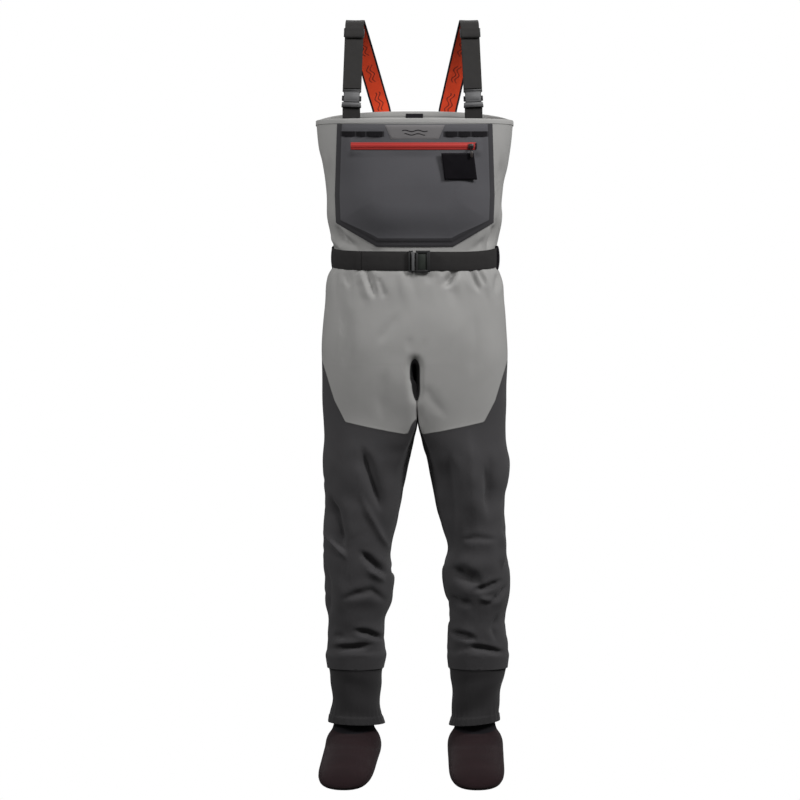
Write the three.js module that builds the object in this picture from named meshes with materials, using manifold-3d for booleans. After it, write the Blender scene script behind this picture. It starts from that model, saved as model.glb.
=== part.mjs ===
// Chest waders: bib with chest pocket and suspenders, waist belt, two jointed legs with gravel guards
// and neoprene stocking feet. Millimetres, +Z up, the front faces -Y, +X is the wearer's left.
// The origin lies midway between the tops of the two shoulder straps.
import * as THREE from "three";
import { mergeVertices } from "three/addons/utils/BufferGeometryUtils.js";
import Module from "manifold-3d";

const wasm = await Module();
wasm.setup();

// ---------------------------------------------------------------- driving dimensions
const GAP = 0.3; // between pieces that touch
const FABRIC = 2; // thickness of a plain fabric wall
const NEOPRENE = 4;
const WEBBING = 38; // width of the strap and belt webbing
const WEB_T = 1.6;

const RIM_FRONT = -203;
const RIM_SIDE = -207;
const RIM_BACK = -191;
const HEM = 11; // height of the reinforced rim tape
const WAIST_Z = -491;
const HIP_SEAM_Z = -500;
const CROTCH_Z = -690;
const STUB_Z = -720; // where the leg tubes leave the seat

// Torso stations: height, half-width, half-depth, roundness of the section
const TORSO = [
  [-185, 202, 126, 2.5],
  [-250, 199, 125, 2.5],
  [-367, 184, 120, 2.4],
  [-462, 167, 107, 2.1],
  [-520, 167, 107, 2.1],
  [-540, 177, 112, 2.1],
  [-590, 185, 119, 2.2],
  [-720, 190, 122, 2.3],
];

// Leg stations: height, distance of the centre from the middle, centre depth, half-width, half-depth
const STUB = [[-640, 96, 0, 93, 108], [STUB_Z, 97, 0, 95, 98]];
const THIGH = [
  [STUB_Z - 2, 97, 0, 91, 94],
  [-760, 96, 0, 92, 93],
  [-838, 96, -1, 91, 91],
  [-941, 107, -3, 82, 85],
  [-1044, 118, -5, 70, 77],
  [-1075, 121, -5, 68.5, 75],
];
const SHIN = [
  [-1077, 121, -5, 64.5, 71],
  [-1115, 123, -4, 68, 74],
  [-1166, 123, 0, 69, 74],
  [-1228, 124, 4, 60, 70],
  [-1289, 125, 7, 59, 66],
  [-1332, 125, 9, 55, 61],
];
const GUARD = [
  [-1332 - GAP, 125, 9, 54, 60],
  [-1380, 125, 10, 50.5, 57],
  [-1420, 125, 11, 50, 57],
  [-1443, 125, 11, 56, 63],
];
const CUFF = [[-1346, 125, 10, 45, 50], [-1439, 125, 11, 43.5, 50]];

const ANKLE = [125, 11, -1478]; // ankle pivot of the wearer's left leg
const FOOT_PITCH = 15; // degrees, toes down
const FOOT_YAW = 8; // degrees, toes out

const STRAP_X = 121;
const STRAP_TILT = 12; // degrees, the front run leans back towards the shoulder
const STRAP_FOOT = [-93, -177]; // y and z of the lower end of the straight front run
const RUN_TOP = 143; // length of the straight front run

// ---------------------------------------------------------------- colours
const material = (color, roughness = 0.85, metalness = 0) =>
  new THREE.MeshStandardMaterial({ color, roughness, metalness });
const LIGHT = material("#84827f");
const DARK = material("#3f3e3f");
const GUARD_CLOTH = material("#2a2829");
const POCKET = material("#4c4b50");
const YOKE_CLOTH = material("#615f60");
const TAPE = material("#353437", 0.6);
const BLACK = material("#161417", 0.5);
const RED_TAPE = material("#b33228", 0.45);
const WEB = material("#343332", 0.9);
const STRAP_SKIN = material("#c33c23", 0.8);
const PLASTIC = material("#2c2c2e", 0.35);
const NEO = material("#2d2326", 0.95);

const waders = new THREE.Group();
waders.name = "chest_waders";

function add(name, geometry, look, parent = waders) {
  geometry.computeVertexNormals();
  const mesh = new THREE.Mesh(geometry, look);
  mesh.name = name;
  parent.add(mesh);
  return mesh;
}

// ---------------------------------------------------------------- solids from surfaces
// A solid between two matching surfaces, each a function of u and v from 0 to 1.
function slab(nu, nv, outer, inner) {
  const points = [];
  const faces = [];
  for (const side of [outer, inner])
    for (let j = 0; j <= nv; j++) for (let i = 0; i <= nu; i++) points.push(...side(i / nu, j / nv));
  const at = (side, i, j) => side * (nu + 1) * (nv + 1) + j * (nu + 1) + i;
  const quad = (a, b, c, d) => faces.push(a, b, c, a, c, d);
  for (let j = 0; j < nv; j++)
    for (let i = 0; i < nu; i++) {
      quad(at(0, i, j), at(0, i + 1, j), at(0, i + 1, j + 1), at(0, i, j + 1));
      quad(at(1, i, j), at(1, i, j + 1), at(1, i + 1, j + 1), at(1, i + 1, j));
    }
  for (let i = 0; i < nu; i++) {
    quad(at(0, i, 0), at(1, i, 0), at(1, i + 1, 0), at(0, i + 1, 0));
    quad(at(0, i, nv), at(0, i + 1, nv), at(1, i + 1, nv), at(1, i, nv));
  }
  for (let j = 0; j < nv; j++) {
    quad(at(0, 0, j), at(0, 0, j + 1), at(1, 0, j + 1), at(1, 0, j));
    quad(at(0, nu, j), at(1, nu, j), at(1, nu, j + 1), at(0, nu, j + 1));
  }
  return facingOut(points, faces);
}

// A closed tube wall between two stacks of matching rings.
function tubeWall(outerRings, innerRings) {
  const n = outerRings[0].length;
  const rows = outerRings.length;
  const points = [...outerRings, ...innerRings].flat(2);
  const faces = [];
  const at = (side, i, j) => (side * rows + j) * n + (i % n);
  const quad = (a, b, c, d) => faces.push(a, b, c, a, c, d);
  for (let i = 0; i < n; i++) {
    for (let j = 0; j + 1 < rows; j++) {
      quad(at(0, i, j), at(0, i + 1, j), at(0, i + 1, j + 1), at(0, i, j + 1));
      quad(at(1, i, j), at(1, i, j + 1), at(1, i + 1, j + 1), at(1, i + 1, j));
    }
    quad(at(0, i, 0), at(1, i, 0), at(1, i + 1, 0), at(0, i + 1, 0));
    const last = rows - 1;
    quad(at(0, i, last), at(0, i + 1, last), at(1, i + 1, last), at(1, i, last));
  }
  return facingOut(points, faces);
}

// A closed solid through a stack of rings, capped at both ends.
function loft(rings) {
  const n = rings[0].length;
  const points = rings.flat(2);
  const faces = [];
  for (let j = 0; j + 1 < rings.length; j++)
    for (let i = 0; i < n; i++) {
      const [a, b, c, d] = [j * n + i, j * n + ((i + 1) % n), (j + 1) * n + ((i + 1) % n), (j + 1) * n + i];
      faces.push(a, b, c, a, c, d);
    }
  for (const [j, turn] of [[0, 1], [rings.length - 1, 0]]) {
    const middle = points.length / 3;
    for (const axis of [0, 1, 2]) points.push(rings[j].reduce((sum, p) => sum + p[axis] / n, 0));
    for (let i = 0; i < n; i++) {
      const [a, b] = [j * n + i, j * n + ((i + 1) % n)];
      faces.push(middle, turn ? b : a, turn ? a : b);
    }
  }
  return facingOut(points, faces);
}

function facingOut(points, faces) {
  let volume = 0;
  const p = (i) => new THREE.Vector3(points[3 * i], points[3 * i + 1], points[3 * i + 2]);
  for (let k = 0; k < faces.length; k += 3)
    volume += p(faces[k]).dot(p(faces[k + 1]).cross(p(faces[k + 2])));
  if (volume < 0)
    for (let k = 0; k < faces.length; k += 3) [faces[k + 1], faces[k + 2]] = [faces[k + 2], faces[k + 1]];
  const geometry = new THREE.BufferGeometry();
  geometry.setAttribute("position", new THREE.Float32BufferAttribute(points, 3));
  geometry.setIndex(faces);
  return geometry;
}

function solid(geometry) {
  const bare = geometry.clone();
  bare.deleteAttribute("normal");
  bare.deleteAttribute("uv");
  const merged = mergeVertices(bare, 1e-4);
  const mesh = new wasm.Mesh({
    numProp: 3,
    vertProperties: new Float32Array(merged.attributes.position.array),
    triVerts: new Uint32Array(merged.index.array),
  });
  return new wasm.Manifold(mesh);
}

function geometryOf(manifold) {
  const mesh = manifold.getMesh();
  const geometry = new THREE.BufferGeometry();
  geometry.setAttribute("position", new THREE.BufferAttribute(new Float32Array(mesh.vertProperties), 3));
  geometry.setIndex(new THREE.BufferAttribute(new Uint32Array(mesh.triVerts), 1));
  return geometry;
}

function box(width, depth, height, x = 0, y = 0, z = 0) {
  return new THREE.BoxGeometry(width, depth, height).translate(x, y, z);
}

const union = (geometries) => geometryOf(geometries.map(solid).reduce((a, b) => a.add(b)));
const mirrored = (geometry) => {
  const copy = geometry.clone().scale(-1, 1, 1);
  const index = copy.index.array;
  for (let k = 0; k < index.length; k += 3) [index[k + 1], index[k + 2]] = [index[k + 2], index[k + 1]];
  return copy;
};
const SIDES = [["left", 1], ["right", -1]];
const onSide = (geometry, sign) => (sign > 0 ? geometry : mirrored(geometry));

// ---------------------------------------------------------------- torso surface
function station(table, z) {
  let k = 0;
  while (k < table.length - 2 && z < table[k + 1][0]) k++;
  const t = THREE.MathUtils.clamp((z - table[k][0]) / (table[k + 1][0] - table[k][0]), 0, 1);
  return table[k].map((value, i) => THREE.MathUtils.lerp(value, table[k + 1][i], t));
}

// A point of the torso, offset outwards. The angle is 0 at +X and -90 degrees at the front.
function torso(angle, z, offset) {
  const [, a, b, n] = station(TORSO, z);
  const c = Math.cos(angle);
  const s = Math.sin(angle);
  return [
    (a + offset) * Math.sign(c) * Math.abs(c) ** (2 / n),
    (b + offset) * Math.sign(s) * Math.abs(s) ** (2 / n),
    z,
  ];
}

// Depth of the torso's front face at a given x.
function frontY(x, z, offset) {
  const [, a, b, n] = station(TORSO, z);
  return -(b + offset) * (1 - Math.min(0.999, Math.abs(x) / (a + offset)) ** n) ** (1 / n);
}

const FRONT = [-Math.PI, 0];
const BACK = [0, Math.PI];
const shifted = ([x, y, z], dy) => [x, y + dy, z];
const rimZ = (angle) => {
  const s = Math.sin(angle);
  return THREE.MathUtils.lerp(RIM_SIDE, s < 0 ? RIM_FRONT : RIM_BACK, Math.sqrt(Math.abs(s)));
};

// A wrap around the front or back half between two heights and two offsets.
function wrap([from, to], nu, nv, top, bottom, inner, outer) {
  const dy = from < 0 ? -GAP / 2 : GAP / 2;
  const angle = (u) => THREE.MathUtils.lerp(from, to, u);
  const height = (u, v) => THREE.MathUtils.lerp(bottom(angle(u)), top(angle(u)), v);
  const face = (offset) => (u, v) => shifted(torso(angle(u), height(u, v), offset), dy);
  return slab(nu, nv, face(outer), face(inner));
}

// A flat patch in x and z laid on the torso's front at an offset.
function onFront(nu, nv, outline, offset, thickness) {
  const face = (lift) => (u, v) => {
    const [x, z] = outline(u, v);
    return [x, frontY(x, z, lift), z];
  };
  return slab(nu, nv, face(offset + thickness), face(offset));
}

const hipSeam = () => HIP_SEAM_Z;
add("bib_front_panel", wrap(FRONT, 24, 9, rimZ, hipSeam, -FABRIC, 0), LIGHT);
add("bib_back_panel", wrap(BACK, 20, 5, rimZ, hipSeam, -FABRIC, 0), LIGHT);
const hemTop = (angle) => rimZ(angle) - 1;
const hemBottom = (angle) => rimZ(angle) - HEM;
add("front_rim_tape", wrap(FRONT, 24, 1, hemTop, hemBottom, 0.4, 1.6), LIGHT);
add("back_rim_tape", wrap(BACK, 20, 1, hemTop, hemBottom, 0.4, 1.6), LIGHT);

// Seat and crotch: the torso tube joined to the tops of both leg tubes, then parted at the side seams.
function ring([z, cx, cy, a, b], n, offset = 0, roundness = 2) {
  return Array.from({ length: n }, (_, i) => {
    const angle = (2 * Math.PI * i) / n;
    const [c, s] = [Math.cos(angle), Math.sin(angle)];
    return [
      cx + (a + offset) * Math.sign(c) * Math.abs(c) ** (2 / roundness),
      cy + (b + offset) * Math.sign(s) * Math.abs(s) ** (2 / roundness),
      z,
    ];
  });
}

function seatSolid(offset) {
  const heights = [HIP_SEAM_Z - GAP - offset, -530, -590, -640, CROTCH_Z - offset];
  const trunk = loft(
    heights.map((z) => {
      const [, a, b, n] = station(TORSO, z);
      return ring([z, 0, 0, a, b], 32, offset, n);
    }),
  );
  const stub = (sign) => ([z, cx, cy, a, b], k) =>
    ring([k ? z + offset : z, sign * cx, cy, a, b], 20, offset);
  const legs = [1, -1].map((sign) => loft(STUB.map(stub(sign))));
  return solid(trunk).add(solid(legs[0])).add(solid(legs[1]));
}
const seat = seatSolid(0).subtract(seatSolid(-FABRIC));
add("hip_front_panel", geometryOf(seat.trimByPlane([0, -1, 0], GAP / 2)), LIGHT);
add("seat_panel", geometryOf(seat.trimByPlane([0, 1, 0], GAP / 2)), LIGHT);

// ---------------------------------------------------------------- chest pocket and trim
const POCKET_TOP = -212;
const POCKET_BOTTOM = -461;
const POCKET_OFFSET = 3.2;
const EDGE = 12; // width of the pocket's edge tape
const pocketHalf = (z, inset) => {
  const corner = -405; // below this the sides draw in to the short bottom edge
  const side = z > -357 ? THREE.MathUtils.mapLinear(z, POCKET_TOP, -357, 158, 165) : 163;
  const half = z > corner ? side : THREE.MathUtils.mapLinear(z, corner, POCKET_BOTTOM, 163, 79);
  return half - inset;
};
add(
  "chest_pocket_panel",
  onFront(14, 8, (u, v) => {
    const z = THREE.MathUtils.lerp(POCKET_BOTTOM + EDGE, POCKET_TOP, v);
    return [(2 * u - 1) * pocketHalf(z, EDGE + 2), z];
  }, POCKET_OFFSET - 1, 1.2),
  POCKET,
);
// The edge tape runs down one side, along the bottom and up the other.
const pocketPath = (t, inset) => {
  const z = [POCKET_TOP, -300, -357, -405, POCKET_BOTTOM + inset];
  const left = z.map((height) => [-pocketHalf(height, inset), height]);
  const points = [...left, [-40, POCKET_BOTTOM + inset], [0, POCKET_BOTTOM + inset]];
  const full = [...points, ...points.slice(0, -1).reverse().map(([x, h]) => [-x, h])];
  const at = t * (full.length - 1);
  const k = Math.min(full.length - 2, Math.floor(at));
  return [0, 1].map((i) => THREE.MathUtils.lerp(full[k][i], full[k + 1][i], at - k));
};
add(
  "pocket_edge_tape",
  onFront(48, 1, (u, v) => pocketPath(u, v * EDGE), POCKET_OFFSET - 1, 1.6),
  TAPE,
);

const YOKE = { top: 61, bottom: 48, high: -214, low: -243 };
add(
  "yoke_patch",
  onFront(6, 1, (u, v) => {
    const half = THREE.MathUtils.lerp(YOKE.bottom, YOKE.top, v);
    return [(2 * u - 1) * half, THREE.MathUtils.lerp(YOKE.low, YOKE.high, v)];
  }, 4.6, 1),
  YOKE_CLOTH,
);

const CHAIN = { inner: 66, outer: 148, low: -238, high: -227 };
for (const [side, sign] of SIDES)
  add(
    `daisy_chain_${side}`,
    onSide(
      onFront(6, 1, (u, v) => [
        THREE.MathUtils.lerp(CHAIN.inner, CHAIN.outer, u),
        THREE.MathUtils.lerp(CHAIN.low, CHAIN.high, v),
      ], 4.7, 1.4),
      sign,
    ),
    BLACK,
  );

// The zip lies on a circular arc in plan, so that its slider can turn about the arc's centre.
const ZIP = { radius: 470, front: -131.3, low: -263, high: -251, from: -127, to: 121 };
const zipY = (x, lift) => ZIP.front + ZIP.radius - Math.sqrt((ZIP.radius + lift) ** 2 - x ** 2);
function onArc(nu, from, to, low, high, lift, thickness) {
  const face = (l) => (u, v) => {
    const x = THREE.MathUtils.lerp(from, to, u);
    return [x, zipY(x, l), THREE.MathUtils.lerp(low, high, v)];
  };
  return slab(nu, 1, face(lift + thickness), face(lift));
}
add("zipper_tape", onArc(16, ZIP.from, ZIP.to, ZIP.low, ZIP.high, 0, 1.2), RED_TAPE);

const SLIDER_X = 113;
const slider = new THREE.Group();
slider.position.set(SLIDER_X, zipY(SLIDER_X, 0), 0);
slider.rotation.z = Math.asin(SLIDER_X / ZIP.radius);
waders.add(slider);
add(
  "zipper_slider",
  union([
    box(10, 2.6, 9, 0, -3.2, -257),
    box(3, 2, 3, 0, -5.2, -255),
    box(3, 2, 3, 0, -5.2, -260),
    box(3, 1, 8, 0, -6.6, -257.5),
  ]),
  BLACK,
  slider,
);
// The cord pull is threaded through the slider's bridge and hangs from it.
add(
  "zipper_pull",
  union([
    box(1.4, 5.4, 1.4, 3, -8.3, -258),
    box(1.4, 1.4, 10, 3, -10.3, -262.3),
    box(4, 2.4, 12, 3, -10.3, -272),
  ]),
  BLACK,
  slider,
);

// A stiff patch for parking flies: a leaning four-sided plate that lies square to the cloth behind it.
const FLY = { x: 90, z: -298, width: 68, height: 54, lean: 4 };
const flyShape = new THREE.Shape();
flyShape.moveTo(-FLY.width / 2 + FLY.lean, -FLY.height / 2);
flyShape.lineTo(FLY.width / 2 + FLY.lean, -FLY.height / 2);
flyShape.lineTo(FLY.width / 2 - FLY.lean, FLY.height / 2);
flyShape.lineTo(-FLY.width / 2 - FLY.lean, FLY.height / 2);
const fly = add(
  "fly_patch",
  new THREE.ExtrudeGeometry(flyShape, { depth: 1.5, bevelEnabled: false }),
  BLACK,
);
fly.rotation.x = Math.PI / 2;
const flySlope = frontY(FLY.x + FLY.width / 2, FLY.z, 0) - frontY(FLY.x - FLY.width / 2, FLY.z, 0);
const flyGroup = new THREE.Group();
flyGroup.position.set(FLY.x, frontY(FLY.x, FLY.z, 6), FLY.z);
flyGroup.rotation.z = Math.atan2(flySlope, FLY.width);
flyGroup.add(fly);
waders.add(flyGroup);

// ---------------------------------------------------------------- inside the bib
const backY = (x, z, offset) => -frontY(x, z, offset);
const insideBack = (nu, half, low, high, offset, thickness) => {
  const face = (lift) => (u, v) => {
    const x = (2 * u - 1) * half;
    return [x, backY(x, -200, lift) - 2, THREE.MathUtils.lerp(low, high, v)];
  };
  return slab(nu, 1, face(offset), face(offset - thickness));
};
add("size_label", insideBack(4, 17.5, -212, -195, -FABRIC - 0.6, 0.6), BLACK);

// ---------------------------------------------------------------- waist belt
const BELT_OFFSET = 3.4;
const BELT_LOW = WAIST_Z - WEBBING / 2;
const BELT_HIGH = WAIST_Z + WEBBING / 2;
const waist = (angle, lift, z = WAIST_Z) => {
  const [x, y] = torso(angle, WAIST_Z, lift);
  return [x, y, z];
};
function beltSlab(nu, from, to, low, high, lift, thickness) {
  const face = (l) => (u, v) =>
    waist(THREE.MathUtils.lerp(from, to, u), l, THREE.MathUtils.lerp(low, high, v));
  return slab(nu, 1, face(lift + thickness), face(lift));
}
const BELT_T = 2.2;
// The angle round the front of the belt at a given x.
const atX = (x) => {
  const [, a, , n] = station(TORSO, WAIST_Z);
  return -Math.acos(Math.sign(x) * (Math.abs(x) / (a + BELT_OFFSET + BELT_T)) ** (n / 2));
};
const beltRun = (nu, from, to) => beltSlab(nu, from, to, BELT_LOW, BELT_HIGH, BELT_OFFSET, BELT_T);
// The long run goes from the fixed buckle half round the back to the wearer's right front.
add("belt_webbing", beltRun(40, atX(34), 2 * Math.PI + atX(-112)), WEB);
add("belt_webbing_front", beltRun(10, atX(-110), atX(-15)), WEB);
const BELT_Y = frontY(0, WAIST_Z, BELT_OFFSET);
const atBuckle = (length, depth, height, x, y) => box(length, depth, height, x, BELT_Y + y, WAIST_Z);
add(
  "belt_buckle_female",
  union([
    atBuckle(29, 1.8, 44, 16.5, -0.4),
    atBuckle(29, 1.8, 34, 16.5, -8.2),
    atBuckle(5, 9.6, 44, 28.5, -4.3),
  ]),
  PLASTIC,
);
add(
  "belt_buckle_male",
  union([
    atBuckle(7, 7, 44, -7, -4.3),
    atBuckle(24, 3, 8, 8, -4.3),
  ]),
  PLASTIC,
);
for (const [place, sign] of [["upper", 1], ["lower", -1]])
  add(
    `belt_prong_${place}`,
    union([
      box(23, 3.4, 3, 8.5, BELT_Y - 4.3, WAIST_Z + sign * 16),
      box(8, 3.4, 5, 16, BELT_Y - 4.3, WAIST_Z + sign * 19),
    ]),
    PLASTIC,
  );
// Loops that carry the belt at both sides and at the back.
const LOOPS = [
  ["belt_loop_left", -0.12, 0.05],
  ["belt_loop_right", Math.PI + 0.12, 0.05],
  ["belt_loop_back", Math.PI / 2, 0.075],
];
for (const [name, angle, half] of LOOPS) {
  const legs = [BELT_HIGH + 3.5, BELT_LOW - 3.5].map((z) =>
    beltSlab(2, angle - half, angle + half, z - 3, z + 3, 3, 4.4),
  );
  const span = beltSlab(2, angle - half, angle + half, BELT_LOW - 6, BELT_HIGH + 6, BELT_OFFSET + 3, 1.4);
  add(name, union([span, ...legs]), BLACK);
}

// ---------------------------------------------------------------- suspenders
const tilt = THREE.MathUtils.degToRad(STRAP_TILT);
const along = (s) => [STRAP_FOOT[0] + s * Math.sin(tilt), STRAP_FOOT[1] + s * Math.cos(tilt)];

// Webbing swept along a smooth path; the width stays level.
function webbing(path, steps, width = WEBBING, thickness = WEB_T) {
  const curve = new THREE.CatmullRomCurve3(path.map((p) => new THREE.Vector3(...p)));
  const frameAt = (v) => {
    const tangent = curve.getTangentAt(v);
    const across = new THREE.Vector3(1, 0, 0).addScaledVector(tangent, -tangent.x).normalize();
    const normal = new THREE.Vector3().crossVectors(tangent, across).normalize();
    return [curve.getPointAt(v), across, normal];
  };
  const face = (side) => (u, v) => {
    const [p, across, normal] = frameAt(v);
    return p.addScaledVector(across, (u - 0.5) * width).addScaledVector(normal, side).toArray();
  };
  return slab(1, steps, face(thickness / 2), face(-thickness / 2));
}

const OVER_SHOULDER = [
  [STRAP_X, ...along(RUN_TOP + 0.6)],
  [STRAP_X, ...along(RUN_TOP + 18)],
  [STRAP_X, -50, -7],
  [STRAP_X - 1, -34, -1.4],
  [STRAP_X - 3, -14, -0.8],
];
const DOWN_BACK = [
  [STRAP_X - 3, -13.4, -0.8],
  [STRAP_X - 6, 14, -5.5],
  [STRAP_X - 14, 50, -29],
  [STRAP_X - 25, 84, -67],
  [STRAP_X - 37, 110, -112],
  [STRAP_X - 47, 125, -155],
  [STRAP_X - 54, 129.5, -190],
  [STRAP_X - 58, 129.5, -226],
];

// The tab that holds the buckle runs down behind the rim and is sewn inside the bib.
const TAB = [
  [STRAP_X, -92.6, -181],
  [STRAP_X, -93.5, -205],
  [STRAP_X, -94, -246],
];

for (const [side, sign] of SIDES) {
  const put = (name, geometry, look) => add(`${name}_${side}`, onSide(geometry, sign), look);
  put("strap_shoulder", webbing(OVER_SHOULDER, 10), WEB);
  put("strap_back", webbing(DOWN_BACK, 18), STRAP_SKIN);
  put("strap_tab", webbing(TAB, 4, 36), WEB);

  // Everything on the straight front run is made upright and then leaned back with the strap.
  const run = new THREE.Group();
  run.position.set(sign * STRAP_X, ...STRAP_FOOT);
  run.rotation.x = -tilt;
  waders.add(run);
  const onRun = (name, geometry, look) => add(`${name}_${side}`, onSide(geometry, sign), look, run);
  onRun("strap_front", box(WEBBING, WEB_T, RUN_TOP - 38, 0, 0, (RUN_TOP + 38) / 2), WEB);
  onRun("strap_return", box(WEBBING - 1, 1.4, 78, 0, -2.4, 79), WEB);
  onRun(
    "buckle_female",
    union([
      box(30, 1.6, 21, 0, 2.6, 14.5),
      box(30, 1.8, 21, 0, -4.2, 14.5),
      box(40, 9, 6, 0, -0.8, 1.6),
      box(30, 8.4, 2, 0, -0.8, 5),
    ]),
    PLASTIC,
  );
  onRun("buckle_male", union([box(38, 6.5, 9, 0, -0.8, 31.5), box(7, 2.4, 18, 0, -0.8, 19)]), PLASTIC);
  for (const [place, way] of [["outer", 1], ["inner", -1]])
    onRun(
      `buckle_prong_${place}`,
      union([box(3, 3, 18, way * 14.5, -0.8, 17.5), box(5, 3, 9, way * 17.2, -0.8, 13.5)]),
      PLASTIC,
    );
  // Three-bar adjuster lying on the strap.
  onRun(
    "adjuster",
    union([
      box(44, 2, 4, 0, -5.4, RUN_TOP - 11),
      box(44, 2, 4, 0, -5.4, RUN_TOP + 11),
      box(44, 2, 3.5, 0, -5.4, RUN_TOP),
      box(3, 2, 26, 20.5, -5.4, RUN_TOP),
      box(3, 2, 26, -20.5, -5.4, RUN_TOP),
    ]),
    PLASTIC,
  );
}
// One patch sews both straps to the back of the bib.
const anchorFace = (lift) => (u, v) => {
  const x = (2 * u - 1) * THREE.MathUtils.lerp(52, 92, v);
  const z = THREE.MathUtils.lerp(-266, -230, v);
  return [x, backY(x, z, lift), z];
};
add("back_anchor_patch", slab(10, 2, anchorFace(2.4), anchorFace(0.8)), LIGHT);

// ---------------------------------------------------------------- legs
// Half a leg tube between its stations; the front half and the back half meet at the side seams.
function legHalf(stations, front) {
  const [from, to] = front ? FRONT : BACK;
  const dy = front ? -GAP / 2 : GAP / 2;
  const face = (offset) => (u, v) => {
    const height = THREE.MathUtils.lerp(stations.at(-1)[0], stations[0][0], v);
    const [z, cx, cy, a, b] = station(stations, height);
    const angle = THREE.MathUtils.lerp(from, to, u);
    return [cx + (a + offset) * Math.cos(angle), cy + dy + (b + offset) * Math.sin(angle), z];
  };
  return slab(10, 5, face(0), face(-FABRIC));
}
const tube = (stations, n, wall) =>
  tubeWall(stations.map((s) => ring(s, n)), stations.map((s) => ring(s, n, -wall)));

// Foot sections from heel to toe: distance forward of the ankle, half-width, top, bottom.
const FOOT = [
  [-64, 16, -18, -44],
  [-56, 31, 4, -53],
  [-36, 39, 22, -56],
  [-5, 41, 26, -56],
  [30, 43, 22, -56],
  [70, 47, 10, -56],
  [110, 52, -3, -56],
  [148, 51, -14, -56],
  [175, 40, -24, -55],
  [190, 22, -32, -50],
];
const SOLE_FACE = -54.5;
const SOLE_SPLIT = -46;
function footSolid(shrink) {
  const rings = FOOT.map(([forward, half, top, bottom], k) => {
    const end = k === 0 ? -shrink : k === FOOT.length - 1 ? shrink : 0;
    const [a, b] = [half - shrink, (top - bottom) / 2 - shrink];
    return Array.from({ length: 16 }, (_, i) => {
      const angle = (2 * Math.PI * i) / 16;
      const [c, s] = [Math.cos(angle), Math.sin(angle)];
      const x = a * Math.sign(c) * Math.abs(c) ** 0.85;
      return [x, -(forward - end), (top + bottom) / 2 + b * Math.sign(s) * Math.abs(s) ** 0.85];
    });
  });
  return solid(loft(rings)).trimByPlane([0, 0, 1], SOLE_FACE + shrink);
}
const toWorld = (manifold) =>
  manifold.rotate([FOOT_PITCH, 0, 0]).rotate([0, 0, FOOT_YAW]).translate(ANKLE);
function anklePost(shrink, top) {
  const stack = [
    [ANKLE[2] - 22, 125, 12, 38, 46],
    [ANKLE[2] + 10, 125, 11, 41, 47],
    [top, 125, 11, 42, 47],
  ];
  return solid(loft(stack.map((s) => ring(s, 18, -shrink))));
}
const COLLAR_TOP = -1447;
const sockWall = toWorld(footSolid(0))
  .add(anklePost(0, COLLAR_TOP))
  .subtract(toWorld(footSolid(NEOPRENE)))
  .subtract(anklePost(NEOPRENE, COLLAR_TOP + 5));
const soleNormal = new THREE.Vector3(0, 0, 1)
  .applyAxisAngle(new THREE.Vector3(1, 0, 0), THREE.MathUtils.degToRad(FOOT_PITCH))
  .applyAxisAngle(new THREE.Vector3(0, 0, 1), THREE.MathUtils.degToRad(FOOT_YAW));
const splitAt = soleNormal.dot(new THREE.Vector3(...ANKLE)) + SOLE_SPLIT;
const upper = geometryOf(sockWall.trimByPlane(soleNormal.toArray(), splitAt + GAP));
const sole = geometryOf(sockWall.trimByPlane(soleNormal.clone().negate().toArray(), -splitAt));

for (const [side, sign] of SIDES) {
  const put = (name, geometry, look) => add(`${name}_${side}`, onSide(geometry, sign), look);
  put("thigh_front", legHalf(THIGH, true), DARK);
  put("thigh_back", legHalf(THIGH, false), DARK);
  put("shin", tube(SHIN, 22, FABRIC), DARK);
  put("gravel_guard", tube(GUARD, 22, 1.6), GUARD_CLOTH);
  put("sock_cuff", tube(CUFF, 18, NEOPRENE), NEO);
  put("sock_upper", upper, NEO);
  put("sock_sole", sole, NEO);
}

export default waders;
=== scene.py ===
"""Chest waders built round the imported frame: cloth, webbing, neoprene and fittings.

Blender's metres, +Z up and the front at -Y; shapes are worked out in millimetres.
"""
import math

import bmesh
import bpy
import numpy as np
from mathutils import Matrix, Vector


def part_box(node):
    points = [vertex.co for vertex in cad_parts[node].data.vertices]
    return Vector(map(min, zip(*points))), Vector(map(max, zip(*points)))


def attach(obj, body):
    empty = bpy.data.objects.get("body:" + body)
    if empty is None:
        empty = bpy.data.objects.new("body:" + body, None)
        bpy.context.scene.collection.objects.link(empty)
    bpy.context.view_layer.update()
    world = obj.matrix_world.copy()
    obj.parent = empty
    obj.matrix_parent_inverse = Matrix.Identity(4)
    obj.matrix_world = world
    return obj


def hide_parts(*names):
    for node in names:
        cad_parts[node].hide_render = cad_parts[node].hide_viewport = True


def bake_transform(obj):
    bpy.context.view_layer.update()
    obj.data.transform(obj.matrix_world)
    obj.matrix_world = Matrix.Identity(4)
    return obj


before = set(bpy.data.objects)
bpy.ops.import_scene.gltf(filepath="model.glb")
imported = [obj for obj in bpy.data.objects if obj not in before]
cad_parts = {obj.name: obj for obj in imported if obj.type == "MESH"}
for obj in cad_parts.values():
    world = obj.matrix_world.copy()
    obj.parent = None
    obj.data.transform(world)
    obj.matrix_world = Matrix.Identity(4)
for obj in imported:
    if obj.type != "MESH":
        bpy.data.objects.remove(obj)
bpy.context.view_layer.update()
MM = 0.001
SIDES = (("left", 1), ("right", -1))
FORWARD = (0.0, -1, 0)
UP = (0.0, 0, 1)

# ------------------------------------------------------------------ driving dimensions, in millimetres
RIM = {"front": -201, "side": -209, "back": -188}
WAIST_Z = -505  # where the bib ends under the belt
BELT_Z = -491
CROTCH_Z = -698
LEG_Z = -941  # where the hip skin ends and the leg skin starts
SEAM_Z = -1330  # where the gravel guards are sewn on
ANKLE = (125, 11, -1478)

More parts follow.
